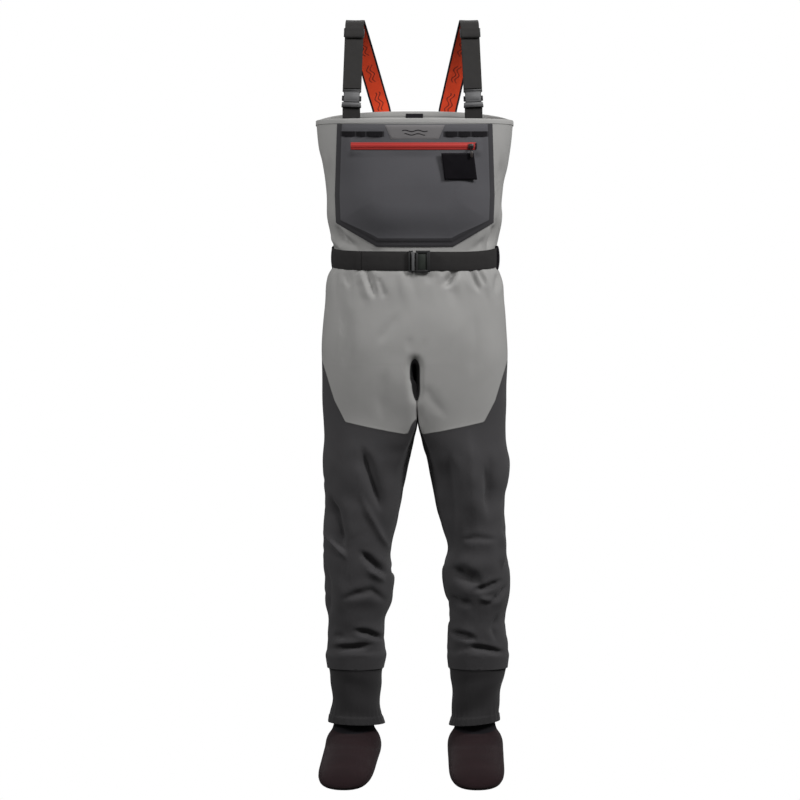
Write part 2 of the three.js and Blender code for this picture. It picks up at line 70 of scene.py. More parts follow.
# Rows of the skin down to the belt, to the crotch and down each leg, and points round the torso
WAIST_ROWS, TORSO_ROWS, LEG_ROWS, RING = 46, 76, 124, 168
STRIP = RING * 2 // 3 - RING // 2 - 1  # points of the crotch seam between front and back

# Torso outline: height, half-width, half-depth, roundness
TORSO = [
    (-185, 203, 126, 2.5), (-215, 201, 126, 2.5), (-250, 198, 125, 2.5), (-285, 193, 124, 2.45),
    (-326, 185.5, 122, 2.4), (-367, 181.5, 120, 2.4), (-408, 179, 116, 2.3), (-435, 173, 111, 2.2),
    (-462, 167, 107, 2.1), (-478, 166, 106.5, 2.1), (-502, 166, 106.5, 2.1), (-512, 172, 110, 2.1),
    (-530, 178, 113, 2.1), (-572, 183, 117, 2.15), (-610, 187, 120, 2.2), (-660, 190, 121, 2.3),
    (-760, 190, 118, 2.3),
]
# Leg outlines as seen from the front: height, inner edge, outer edge
LEG_OUTLINE = {
    "right": [
        (-690, -0.3, -190), (-730, -0.3, -190), (-780, 3.4, -189), (-830, 6.0, -187), (-859, -1, -186),
        (-900, -11, -188), (-982, -26, -184), (-1040, -38, -185), (-1100, -50, -188), (-1150, -42, -186),
        (-1195, -47, -185), (-1228, -60, -178), (-1265, -62, -178), (-1300, -60, -181), (-1330, -66, -177),
    ],
    "left": [
        (-690, 0.3, 190), (-730, 0.3, 190), (-780, 4.0, 189), (-830, 6.6, 187), (-859, 14, 188),
        (-910, 28, 195), (-982, 42, 185), (-1040, 57, 187), (-1084, 68, 189), (-1125, 57, 195),
        (-1170, 62, 196), (-1203, 72, 191), (-1232, 70, 186), (-1289, 68, 193), (-1330, 72, 189),
    ],
}
# Leg depth: height, centre, half-depth
LEG_DEPTH = [
    (-660, 0, 121), (-690, 0, 120.1), (-730, 0, 117), (-780, 0, 110), (-838, -1, 100), (-900, -2, 93),
    (-941, -3, 88), (-1044, -5, 78), (-1105, -4, 76), (-1166, 0, 76), (-1228, 4, 67), (-1289, 7, 65),
    (-1330, 9, 61),
]


# ------------------------------------------------------------------ curves and outlines
def smoothstep(x, low=0.0, high=1.0):
    t = np.clip((np.asarray(x, float) - low) / (high - low), 0, 1)
    return t * t * (3 - 2 * t)


def unit(rows):
    return rows / np.linalg.norm(rows, axis=1)[:, None]


def travelled(rows):
    """How far along the rows each one is."""
    return np.concatenate([[0], np.cumsum(np.linalg.norm(np.diff(rows, axis=0), axis=1))])


def hermite(rows, known, wanted):
    """The rows' values at the wanted places, on a smooth curve through the known ones."""
    slope = np.gradient(rows, known, axis=0)
    k = np.clip(np.searchsorted(known, wanted) - 1, 0, len(known) - 2)
    step = (known[k + 1] - known[k])[:, None]
    t = np.clip((wanted - known[k]) / (known[k + 1] - known[k]), 0, 1)[:, None]
    blend = 2 * t**3 - 3 * t**2
    return (
        (1 + blend) * rows[k]
        - blend * rows[k + 1]
        + (t**3 - 2 * t**2 + t) * step * slope[k]
        + (t**3 - t**2) * step * slope[k + 1]
    )


def smooth_table(rows, heights):
    """Each column of a table, smoothly at the wanted heights and in their shape."""
    rows, heights = np.array(sorted(rows), float), np.asarray(heights, float)
    columns = hermite(rows[:, 1:], rows[:, 0], heights.ravel()).T
    return columns.reshape(-1, *heights.shape)


def smooth_path(rows, count):
    """Evenly spaced places on a smooth curve through the rows."""
    rows = np.asarray(rows, float)
    run = travelled(rows)
    return hermite(rows, run, np.linspace(0, run[-1], count))


def spread(count, ends=0.5):
    """Places from 0 to 1, closer together near the ends."""
    t = np.linspace(0, 1, count)
    return (1 - ends) * t + ends * (0.5 - 0.5 * np.cos(math.pi * t))


def patch_grid(across, upward):
    """Places across a patch, from -1 to 1, and up it, from 0 to 1."""
    return np.meshgrid(2 * spread(across) - 1, spread(upward))


def line_distance(u, v, line):
    """Distance from each place to a broken line, and how far along it the nearest point is, from 0 to 1."""
    best, along = np.full(np.shape(u), 1e9), np.zeros(np.shape(u))
    line = np.asarray(line, float)
    before = travelled(line)
    for k in range(len(line) - 1):
        d = line[k + 1] - line[k]
        t = np.clip(((u - line[k, 0]) * d[0] + (v - line[k, 1]) * d[1]) / (d @ d), 0, 1)
        away = np.hypot(u - line[k, 0] - t * d[0], v - line[k, 1] - t * d[1])
        near = away < best
        best = np.where(near, away, best)
        along = np.where(near, (before[k] + t * (before[k + 1] - before[k])) / before[-1], along)
    return best, along


def rounded(angle, power):
    """Cosine and sine, each raised to a power with its sign kept: a circle drawn squarer or slimmer."""
    return (np.sign(way) * np.abs(way) ** power for way in (np.cos(angle), np.sin(angle)))


def torso_points(angle, z, lift=0.0):
    """Points of the torso in millimetres; angle 0 is the wearer's left and -90 degrees the front."""
    angle, z = np.broadcast_arrays(angle, z)
    half, depth, roundness = smooth_table(TORSO, z)
    x, y = rounded(angle, 2 / roundness)
    return np.stack([(half + lift) * x, (depth + lift) * y, z], -1)


def front_y(x, z, lift=0.0):
    """Depth of the torso's front at a place seen from the front, in millimetres."""
    half, depth, roundness = smooth_table(TORSO, z)
    share = np.minimum(0.999, np.abs(x) / (half + lift))
    return -(depth + lift) * (1 - share**roundness) ** (1 / roundness)


def leg_points(side, phi, z):
    """Points of a leg in millimetres; phi 0 is the outer side and -90 degrees the front."""
    phi, z = np.broadcast_arrays(phi, z)
    inner, outer = smooth_table(LEG_OUTLINE[side], z)
    middle, depth = smooth_table(LEG_DEPTH, z)
    x, y = rounded(phi, 0.95)
    return np.stack([(inner + outer) / 2 + (outer - inner) / 2 * x, middle + depth * y, z], -1)


def rim_height(angle):
    """The rim dips at the sides and is drawn up at the back between the straps."""
    s = np.sin(angle)
    front = (RIM["front"] - RIM["side"]) * np.sqrt(abs(s))
    back = (RIM["back"] - RIM["side"]) * abs(s) ** 1.3
    return RIM["side"] + np.where(s < 0, front, back)


# ------------------------------------------------------------------ node helpers
class Nodes:
    """Short names for making and linking the nodes of a tree."""

    def __init__(self, tree):
        self.tree = tree

    def add(self, kind, **inputs):
        node = self.tree.nodes.new(kind)
        for key, value in inputs.items():
            self.put(node.inputs[key.replace("_", " ")], value)
        return node

    def put(self, socket, value):
        if isinstance(value, bpy.types.NodeSocket):
            self.tree.links.new(value, socket)
        else:
            socket.default_value = value

    def maths(self, operation, a, b=0.0):
        node = self.add("ShaderNodeMath")
        node.operation = operation
        self.put(node.inputs[0], a)
        self.put(node.inputs[1], b)
        return node.outputs[0]


# ------------------------------------------------------------------ camera and light
def area_light(name, place, size, power):
    aim = Vector((0, 0, -0.5))
    lamp = bpy.data.lights.new(name, "AREA")
    lamp.shape = "RECTANGLE"
    lamp.size, lamp.size_y = size
    lamp.energy = power
    o = bpy.data.objects.new(name, lamp)
    o.location = place
    o.rotation_euler = (aim - Vector(place)).to_track_quat("-Z", "Y").to_euler()
    bpy.context.scene.collection.objects.link(o)


def studio():
    scale, distance, tilt = 1643, 12000, math.radians(3)  # millimetres across the picture, away, above
    target = Vector((-30, 0, -779)) * MM
    camera = bpy.data.objects.new("camera", bpy.data.cameras.new("camera"))
    camera.data.sensor_width = 36
    camera.data.lens = 36 * distance / scale
    camera.location = target + Vector((0, -math.cos(tilt), math.sin(tilt))) * distance * MM
    camera.rotation_euler = (math.pi / 2 - tilt, 0, 0)
    bpy.context.scene.collection.objects.link(camera)
    bpy.context.scene.camera = camera
    area_light("key", (2.3, -1.6, 1.4), (0.6, 1.0), 122)
    area_light("fill", (-2.6, -1.3, 1.0), (0.6, 1.2), 68)
    area_light("front", (0.6, -2.5, 1.8), (0.6, 0.6), 36)
    area_light("back", (0.4, 3.0, 1.2), (2.6, 1.6), 66)


def white_room():
    """A plain white world that lights the object softly, less from the ground up."""
    world = bpy.data.worlds.new("world")
    world.use_nodes = True
    room = Nodes(world.node_tree)
    seen = room.add("ShaderNodeLightPath").outputs["Is Camera Ray"]
    # what lights the object, and what shows behind it
    strength = room.add("ShaderNodeMapRange", Value=seen, To_Min=0.26, To_Max=1.0)
    around = room.add("ShaderNodeTexCoord").outputs["Generated"]
    height = room.add("ShaderNodeSeparateXYZ", Vector=around).outputs["Z"]
    sky = room.add("ShaderNodeMapRange", Value=height, From_Min=-0.5, From_Max=0.6, To_Min=0.45)
    background = room.tree.nodes["Background"]
    room.put(background.inputs["Strength"], strength.outputs["Result"])
    room.put(background.inputs["Color"], room.maths("MAXIMUM", seen, sky.outputs["Result"]))
    bpy.context.scene.world = world
    bpy.context.scene.view_settings.view_transform = "Standard"


studio()
white_room()


# ------------------------------------------------------------------ materials
class Look(Nodes):
    """A material being made."""

    def __init__(self, name):
        self.material = bpy.data.materials.new(name)
        self.material.use_nodes = True
        super().__init__(self.material.node_tree)

    def attribute(self, name, output):
        node = self.add("ShaderNodeAttribute")
        node.attribute_name = name
        return node.outputs[output]

    def times(self, a, b):
        return self.maths("MULTIPLY", a, b)

    def gap(self, a, b):
        """How far apart two values are."""
        return self.maths("ABSOLUTE", self.maths("SUBTRACT", a, b))

    def band(self, distance, width):
        """The width less the distance, down to nothing where the distance is wider."""
        return self.maths("SUBTRACT", width, self.maths("MINIMUM", distance, width))

    def mix(self, factor, a, b):
        node = self.add("ShaderNodeMix")
        node.data_type = "RGBA"
        self.put(node.inputs[0], factor)
        self.put(node.inputs[6], a)
        self.put(node.inputs[7], b)
        return node.outputs[2]

    def mottled(self, cloudy, colour, darker, lighter):
        return self.mix(cloudy, shade(colour, darker), shade(colour, lighter))

    def noise(self, vector, scale, detail):
        node = self.add("ShaderNodeTexNoise", Vector=vector, Scale=scale, Detail=detail, Roughness=0.55)
        return node.outputs["Fac"]

    def wave(self, vector, pitch, direction):
        """Bands of the given pitch in metres across one direction of the cloth."""
        node = self.add("ShaderNodeTexWave", Vector=vector, Scale=2 * math.pi / 20 / pitch)
        node.bands_direction = direction
        return node.outputs["Fac"]

    def bump(self, height, distance, strength, normal=None):
        node = self.add("ShaderNodeBump", Height=height, Distance=distance, Strength=strength)
        if normal is not None:
            self.put(node.inputs["Normal"], normal)
        return node.outputs["Normal"]

    def finish(self, colour, roughness, normal, sheen=0.0, specular=0.5):
        inputs = self.tree.nodes["Principled BSDF"].inputs
        self.put(inputs["Base Color"], colour)
        self.put(inputs["Roughness"], roughness)
        self.put(inputs["Sheen Weight"], sheen)
        self.put(inputs["Specular IOR Level"], specular)
        self.put(inputs["Normal"], normal)
        return self.material


def shade(colour, factor):
    return tuple(min(1.0, c * factor) for c in colour[:3]) + (1.0,)


def cloth_look(name, colour, second=None, pitch=0.0009, rough=0.82, sheen=0.06, mottle=0.1):
    """Plain-weave shell fabric. Where the stored value panel is below zero it takes the second colour."""
    look = Look(name)
    cloth = look.attribute("cloth", "Vector")
    weave = look.maths("ADD", look.wave(cloth, pitch, "X"), look.wave(cloth, pitch, "Y"))
    cloudy = look.noise(cloth, 9.0, 4.0)
    grain = look.noise(cloth, 900.0, 2.0)
    base = look.mottled(cloudy, colour, 1 - mottle, 1 + mottle)
    normal = look.bump(weave, 0.00012, 0.6)
    if second is not None:
        # the two colours meet at a stitched seam on a low ridge
        panel = look.attribute("panel", "Fac")
        other = look.mottled(cloudy, second, 1 - mottle, 1 + mottle)
        base = look.mix(look.maths("LESS_THAN", panel, 0.0), base, other)
        distance = look.maths("ABSOLUTE", panel)
        stitched = look.maths("LESS_THAN", distance, 0.0011)
        base = look.mix(look.times(stitched, 0.55), base, shade(second, 0.45))
        normal = look.bump(look.times(look.band(distance, 0.006), 100.0), 0.0006, 0.7, normal)
    base = look.mix(look.times(grain, 0.22), base, shade(second or colour, 0.55))
    return look.finish(base, rough, normal, sheen=sheen, specular=0.1)


def web_look(name, colour, lining=None):
    """Ribbed webbing 38 mm wide. The cloth value runs across its width, then along it."""
    look = Look(name)
    cloth = look.attribute("cloth", "Vector")
    ribs = look.wave(cloth, 0.0021, "Y")
    cords = look.wave(cloth, 0.0016, "X")
    worn = look.noise(cloth, 60.0, 3.0)
    if lining is None:
        base = look.mottled(worn, colour, 0.82, 1.2)
        base = look.mix(look.times(ribs, 0.35), base, shade(colour, 0.55))
    else:
        # short double ripples woven along the middle, between two dark edges
        base = look.mottled(worn, lining, 0.85, 1.12)
        base = look.mix(look.times(cords, 0.2), base, shade(lining, 0.6))
        split = look.add("ShaderNodeSeparateXYZ", Vector=cloth)
        across, along = split.outputs["X"], split.outputs["Y"]
        ripple = look.times(look.maths("SINE", look.times(along, 290.0)), 0.0032)
        thin = look.maths("LESS_THAN", look.gap(look.gap(across, ripple), 0.0036), 0.0012)
        spaced = look.maths("GREATER_THAN", look.maths("PINGPONG", along, 0.031), 0.0115)
        base = look.mix(look.times(look.times(thin, spaced), 0.75), base, colour)
        outside = look.maths("GREATER_THAN", look.maths("ABSOLUTE", across), 0.0151)
        base = look.mix(outside, base, colour)
    both = look.maths("ADD", ribs, look.times(cords, 0.5))
    return look.finish(base, 0.8, look.bump(both, 0.0002, 0.6), sheen=0.03, specular=0.05)


def plastic_look(name, colour, rough=0.38, grain=0.00006, specular=0.4):
    look = Look(name)
    place = look.add("ShaderNodeTexCoord").outputs["Object"]
    speck = look.noise(place, 1800.0, 2.0)
    wear = look.noise(place, 70.0, 4.0)
    base = look.mottled(wear, colour, 0.85, 1.25)
    uneven = look.add("ShaderNodeMapRange", Value=wear, To_Min=rough - 0.08, To_Max=rough + 0.14)
    return look.finish(base, uneven.outputs[0], look.bump(speck, grain, 0.5), specular=specular)


def neoprene_look(name, colour):
    """Knitted neoprene. Where the stored value panel is below zero it is the darker cuff over the ankle."""
    look = Look(name)
    cloth = look.attribute("cloth", "Vector")
    knit = look.times(look.wave(cloth, 0.0014, "DIAGONAL"), look.wave(cloth, 0.0012, "Y"))
    cloudy = look.noise(cloth, 14.0, 4.0)
    fuzz = look.noise(cloth, 700.0, 2.0)
    warm = (colour[0] * 1.35, colour[1] * 0.9, colour[2] * 0.95)
    base = look.mix(cloudy, shade(colour, 0.8), shade(warm, 1.2))
    base = look.mix(look.times(fuzz, 0.3), base, shade(colour, 0.6))
    panel = look.attribute("panel", "Fac")
    base = look.mix(look.maths("LESS_THAN", panel, 0.0), base, shade(BLACK, 0.7))
    seam = look.times(look.band(look.maths("ABSOLUTE", panel), 0.004), 200.0)
    normal = look.bump(seam, 0.0008, 0.8, look.bump(knit, 0.00025, 0.8))
    return look.finish(base, 0.92, normal, sheen=0.06, specular=0.1)


LIGHT_GREY = (0.268, 0.265, 0.258, 1)
CHARCOAL = (0.043, 0.0415, 0.0435, 1)
GUARD_BLACK = (0.0235, 0.0225, 0.0235, 1)
POCKET_GREY = (0.070, 0.069, 0.075, 1)
YOKE_GREY = (0.122, 0.117, 0.119, 1)
TAPE_GREY = (0.034, 0.033, 0.036, 1)
BLACK = (0.009, 0.008, 0.010, 1)
RED = (0.30, 0.030, 0.026, 1)
ORANGE = (0.54, 0.050, 0.018, 1)
WEB_GREY = (0.026, 0.025, 0.0245, 1)
BELT_BLACK = (0.022, 0.021, 0.021, 1)
PLASTIC_GREY = (0.020, 0.020, 0.0205, 1)
RECESS_BLACK = (0.016, 0.019, 0.016, 1)
ZIP_BLACK = (0.02, 0.016, 0.015, 1)
NEOPRENE = (0.0125, 0.0078, 0.0088, 1)

LOOKS = {
    "shell": cloth_look("shell_fabric", LIGHT_GREY, CHARCOAL),
    "hem": cloth_look("hem_fabric", LIGHT_GREY, mottle=0.06),
    "guard": cloth_look("guard_fabric", GUARD_BLACK, pitch=0.0012, rough=0.9, sheen=0.08),
    "yoke": cloth_look("yoke_fabric", YOKE_GREY, mottle=0.06),
    "pocket": cloth_look("pocket_body", POCKET_GREY, TAPE_GREY, pitch=0.0011, rough=0.68, mottle=0.07),
    "black": cloth_look("black_patch", BLACK, pitch=0.0012, rough=0.6, sheen=0.02),
    "daisy": cloth_look("daisy_webbing", shade(BLACK, 0.5), TAPE_GREY, pitch=0.0016, rough=0.8, sheen=0),
    "red": cloth_look("zip_tape", RED, pitch=0.002, rough=0.42, sheen=0.0, mottle=0.08),
    "webbing": web_look("strap_webbing", WEB_GREY),
    "lining": web_look("strap_lining", shade(BLACK, 1.2), ORANGE),
    "belt": web_look("belt_webbing", BELT_BLACK),
    "tag": web_look("black_webbing", BLACK),
    "tab": web_look("tab_webbing", shade(WEB_GREY, 0.75)),
    "plastic": plastic_look("buckle_plastic", PLASTIC_GREY),
    # a lighter copy of the buckle plastic: painted reflection on the shiny face plate
    "plastic_painted_reflection": plastic_look("buckle_face_painted_reflection", shade(PLASTIC_GREY, 3.2), rough=0.4, specular=0.3),
    # a lighter copy of the buckle plastic: painted light on the raised bars
    "plastic_painted_light": plastic_look("buckle_bar_painted_light", shade(PLASTIC_GREY, 3.0), rough=0.42),
    "plastic_dark": plastic_look("belt_buckle", shade(PLASTIC_GREY, 0.7), rough=0.4, specular=0.25),
    "recess": plastic_look("buckle_recess", RECESS_BLACK, rough=0.3),
    "zip_metal": plastic_look("zip_fitting", ZIP_BLACK, rough=0.3),
    "pad": plastic_look("fly_pad", shade(BLACK, 0.5), rough=0.45, grain=0.00003, specular=0.03),
    "neoprene": neoprene_look("neoprene", NEOPRENE),
}


# ------------------------------------------------------------------ mesh helpers
def store(mesh, name, kind, values):
    """Keeps a value for each point, in metres, for the materials."""
    field = "vector" if kind == "FLOAT_VECTOR" else "value"
    values = np.asarray(values, np.float32).ravel()
    mesh.attributes.new(name, kind, "POINT").data.foreach_set(field, values)


def fetch(mesh, name, size, field="value", kind=np.float32):
    values = np.zeros(size, kind)
    mesh.attributes[name].data.foreach_get(field, values)
    return values


def add_object(name, mesh):
    mesh.polygons.foreach_set("use_smooth", [True] * len(mesh.polygons))
    o = bpy.data.objects.new(name, mesh)
    bpy.context.scene.collection.objects.link(o)
    return o


def piece(name, points, faces, look, cloth, panel=None):
    """A mesh object from points in millimetres. cloth is each point's place on its flat cloth, in metres."""
    mesh = bpy.data.meshes.new(name)
    mesh.from_pydata([tuple(p) for p in np.asarray(points, float) * MM], [], [tuple(f) for f in faces])
    mesh.materials.append(LOOKS[look])
    cloth = np.asarray(cloth)
    if cloth.shape[1] == 2:
        cloth = np.hstack([cloth, np.zeros((len(cloth), 1))])
    store(mesh, "cloth", "FLOAT_VECTOR", cloth)
    if panel is not None:
        store(mesh, "panel", "FLOAT", panel)
    mesh.validate()
    return add_object(name, mesh)


def face_out(o):
    mesh = bmesh.new()
    mesh.from_mesh(o.data)
    bmesh.ops.recalc_face_normals(mesh, faces=mesh.faces)
    mesh.to_mesh(o.data)
    mesh.free()


def crease_edges(o, angle):
    """Sharp shading at real corners only."""
    o.data.set_sharp_from_angle(angle=math.radians(angle))


def grid_solid(name, outer, inner, look, cloth, sharp, closed=False, inner_look=None):
    """A closed solid between two matching grids of points, shape (rows, columns, 3)."""
    rows, cols = outer.shape[:2]
    points = np.concatenate([outer.reshape(-1, 3), inner.reshape(-1, 3)])
    faces, inside = [], []
    wrap = cols if closed else cols - 1

    def at(side, j, i):
        return side * rows * cols + j * cols + i % cols

    for j in range(rows - 1):
        for i in range(wrap):
            faces.append((at(0, j, i), at(0, j, i + 1), at(0, j + 1, i + 1), at(0, j + 1, i)))
            faces.append((at(1, j, i), at(1, j + 1, i), at(1, j + 1, i + 1), at(1, j, i + 1)))
            inside += [0, 1]
    for i in range(wrap):
        for j in (0, rows - 1):
            faces.append((at(0, j, i), at(1, j, i), at(1, j, i + 1), at(0, j, i + 1)))
    if not closed:
        for j in range(rows - 1):
            for i in (0, cols - 1):
                faces.append((at(0, j, i), at(0, j + 1, i), at(1, j + 1, i), at(1, j, i)))
    inside += [0] * (len(faces) - len(inside))
    cloth = np.asarray(cloth, float).reshape(-1, 2)
    o = piece(name, points, faces, look, np.concatenate([cloth, cloth]))
    if inner_look:
        o.data.materials.append(LOOKS[inner_look])
        o.data.polygons.foreach_set("material_index", np.array(inside, np.int32))
    face_out(o)
    if sharp:
        crease_edges(o, sharp)
    return o


def patch(name, x, z, outer_y, inner_y, look, sharp=60, panel=None):
    """A patch from grids of its places and depths; panel is the distance from a change of colour."""
    outer = np.stack([x, outer_y, z], -1)
    inner = np.stack([x, inner_y, z], -1)
    o = grid_solid(name, outer, inner, look, np.stack([x, z], -1) * MM, sharp)
    if panel is not None:
        store(o.data, "panel", "FLOAT", np.concatenate([panel.ravel(), panel.ravel()]) * MM)
    return o


def ring_faces(rings, sides, closed=False):
    """Quads that join each ring of points to the next."""
    faces = []
    for k in range(rings if closed else rings - 1):
        for i in range(sides):
            a, b, after = k * sides, (k + 1) % rings * sides, (i + 1) % sides
            faces.append((a + i, a + after, b + after, b + i))
    return faces


def swept(name, path, profile, look, closed=False):
    """A closed profile of (sideways, up) pairs swept along a path of (places, ways sideways, ways up)."""
    place, across, up = path
    profile = np.asarray(profile, float)
    rows = place[:, None] + across[:, None] * profile[None, :, :1] + up[:, None] * profile[None, :, 1:]
    n, m = len(place), len(profile)
    faces = ring_faces(n, m, closed)
    if not closed:
        faces += [tuple(range(m))[::-1], tuple((n - 1) * m + i for i in range(m))]
    cloth = np.stack([np.repeat(travelled(place), m), np.tile(travelled(profile), n)], -1) * MM
    o = piece(name, rows.reshape(-1, 3), faces, look, cloth)
    face_out(o)
    crease_edges(o, 50)
    return o


def facing_front(place, closed=False):
    """A path for swept: the places, the way across each and the way out to the front."""
    along = unit(np.roll(place, -1, 0) - np.roll(place, 1, 0) if closed else np.gradient(place, axis=0))
    out = np.tile(FORWARD, (len(place), 1))
    return place, np.cross(out, along), out


def blocks(name, parts, look, place, edge):
    """Moulded plastic from round-edged boxes, each (size, centre) in millimetres, joined into one skin."""
    mesh = bmesh.new()
    for size, centre in parts:
        box = Matrix.Translation(Vector(centre) * MM) @ Matrix.Diagonal((*(Vector(size) * MM), 1))
        bmesh.ops.create_cube(mesh, size=1, matrix=box)
    data = bpy.data.meshes.new(name)
    mesh.to_mesh(data)
    mesh.free()
    data.materials.append(LOOKS[look])
    data.transform(place)
    o = add_object(name, data)
    bevel = o.modifiers.new("edge", "BEVEL")
    bevel.width, bevel.segments = edge * MM, 2
    bevel.limit_method, bevel.angle_limit = "ANGLE", math.radians(35)
    return o


def fitting(name, parts, look, place, edge, body, *replaced):
    done(blocks(name, parts, look, place, edge), body, "buckle_plastic", *replaced)


def thicken(o, amount):
    m = o.modifiers.new("thickness", "SOLIDIFY")
    m.thickness, m.offset, m.use_even_offset = amount * MM, -1, True


def done(o, body, slot, *replaced):
    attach(o, body)
    if replaced:
        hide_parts(*replaced)


# --------------------------------------------------------- the shell: bib, hips and legs in one skin
def cloth_normals(points, faces):
    corners = points[faces]
    normal = np.cross(corners[:, 2] - corners[:, 0], corners[:, 3] - corners[:, 1])
    total = np.zeros_like(points)
    for k in range(4):
        np.add.at(total, faces[:, k], normal)
    return total / np.maximum(1e-9, np.linalg.norm(total, axis=1))[:, None]


def torso_rows():
    """Rows of points from the rim to the crotch, their places on the cloth, and faces with their parts."""
    angle = np.arange(RING) * 2 * math.pi / RING
    points, around, faces, parts = [], [], [], []
    for j in range(TORSO_ROWS + 1):
        if j <= WAIST_ROWS:
            z = rim_height(angle) + (WAIST_Z - rim_height(angle)) * j / WAIST_ROWS
        else:
            z = np.full(RING, WAIST_Z + (CROTCH_Z - WAIST_Z) * (j - WAIST_ROWS) / (TORSO_ROWS - WAIST_ROWS))
        points.append(torso_points(angle, z))
        around.append(np.stack([angle * 160, z], -1))
    for j in range(TORSO_ROWS):
        for i in range(RING):
            above, below, after = j * RING, (j + 1) * RING, (i + 1) % RING
            faces.append((below + i, below + after, above + after, above + i))
            if j < WAIST_ROWS:
                parts.append("bib_front" if i >= RING // 2 else "bib_back")
            else:
                parts.append("hips_left" if i < RING // 4 or i >= 3 * RING // 4 else "hips_right")
    return points, around, faces, parts


def leg_row(side, sign, z, start, phi):
    """A row of a leg: half of the torso's outline with a flat inner wall at the crotch, round lower down."""
    edge, front = sign * np.abs(start[:, 0]).max(), start[:, 1].max()
    share = start[:, :2] / (edge, front)
    (inner, outer), (middle, depth) = (smooth_table(rows, z) for rows in (LEG_OUTLINE[side], LEG_DEPTH))
    joined = 1 - smoothstep((CROTCH_Z - z) / 60)
    outer += (edge - smooth_table(LEG_OUTLINE[side], CROTCH_Z)[1]) * joined
    depth += (front - smooth_table(LEG_DEPTH, CROTCH_Z)[1]) * joined
    flat_sided = np.stack([inner + (outer - inner) * share[:, 0], middle + depth * share[:, 1], 0 * phi], -1)
    blend = smoothstep(-z, 775, 955)
    row = flat_sided * (1 - blend) + leg_points(side, phi, z) * blend
    row[:, 2] = z
    return row


def base_shell():
    """Points, faces, the part each face belongs to, and each point's place on its panel: round and up."""
    points, around, faces, parts = torso_rows()
    depth = points[-1][:, 1].max()
    s = np.arange(1, STRIP + 1) / (STRIP + 1)
    points.append(np.stack([0 * s, depth * np.cos(math.pi * s), CROTCH_Z - 5 * np.sin(math.pi * s)], -1))
    around.append(np.stack([s * 200, points[-1][:, 2]], -1))
    first, count = TORSO_ROWS * RING, (TORSO_ROWS + 1) * RING + STRIP
    loop = RING // 2 + 1 + STRIP
    phi = np.radians(-135 + 270 / (RING // 2) * np.arange(loop))
    for side, sign in SIDES:
        ring = [first + (3 * RING // 4 + sign * m) % RING for m in range(RING // 2 + 1)]
        ring += range(first + RING, first + RING + STRIP)
        start = np.concatenate(points)[ring]
        for k in range(1, LEG_ROWS + 1):
            z = CROTCH_Z + (SEAM_Z - CROTCH_Z) * k / LEG_ROWS
            points.append(leg_row(side, sign, z, start, phi))
            around.append(np.stack([phi * 85 + sign * 1000, np.full(loop, z)], -1))
            below = range(count, count + loop)
            for m in range(loop):
                after = (m + 1) % loop
                quad = (below[m], below[after], ring[after], ring[m])
                faces.append(quad if sign > 0 else quad[::-1])
                parts.append(("leg_" if z < LEG_Z else "hips_") + side)
            ring = below
            count += loop
    return np.concatenate(points), np.array(faces), np.array(parts), np.concatenate(around)


def crease(points, normals, line, width, depth, facing=-1):
    """Pushes the cloth in along a line seen from the front (or the back) and lifts it beside the line."""
    away, along = line_distance(points[:, 0], points[:, 2], line)
    fade = 0.35  # share of the line over which each end fades out
    ends = smoothstep(along / fade) * smoothstep((1 - along) / fade)
    side = smoothstep(facing * normals[:, 1], -0.3, 0.2)
    q = (away / (width * (0.5 + 0.5 * ends))) ** 1.4
    return -1.7 * depth * (1 - 1.1 * q) * np.exp(-q) * ends * side


def cleft(points):
    """Draws the front back between the thighs, wide under the crotch and narrow below."""
    down = -points[:, 2]
    deep = smoothstep(down, 678, 712) * (1 - 0.85 * smoothstep(down, 738, 785))
    deep *= 1 - smoothstep(down, 850, 920)
    wide = smoothstep(down, 690, 722) * (1 - smoothstep(down, 726, 790))
    middle = np.interp(down, [698, 780, 830], [0, 3.7, 6.3])
    width = 7.0 - 4.0 * smoothstep(down, 700, 780)
    near = np.exp(-(((points[:, 0] - middle) / width) ** 2)) * smoothstep(-points[:, 1], 10, 80)
    aside = 4 * wide * near * np.sign(points[:, 0]) * (np.abs(points[:, 0]) > 0.1)
    return np.stack([aside, 45 * deep * near, 0 * near], -1)


# Where the light thigh panel ends on each leg: share of the way from the middle to the outer edge, height
PANEL_EDGE = [
    (-1, -812), (-0.87, -845), (-0.5, -839), (0.04, -829), (0.49, -820), (0.73, -777), (1.0, -697),
]
GUSSET_AND_SHADE_DEPTH = 12  # the cleft floor takes the dark panel colour where it is deeper than this: a dark inner gusset, and painted shade in the deep cleft


def panel_distance(points):
    """Millimetres from the seam between the light and the dark panels, above it positive."""
    x, z = np.abs(points[:, 0]), points[:, 2]
    middle, half = 96.0, 94.0
    away, _ = line_distance(x, z, [(middle + half * share, height) for share, height in PANEL_EDGE])
    edge = np.interp((x - middle) / half, *zip(*PANEL_EDGE))
    # where the cleft is deep its floor counts as dark panel: painted shade, together with a dark inner
    # gusset
    return np.minimum(np.where(z > edge, away, -away), GUSSET_AND_SHADE_DEPTH - cleft(points)[:, 1])


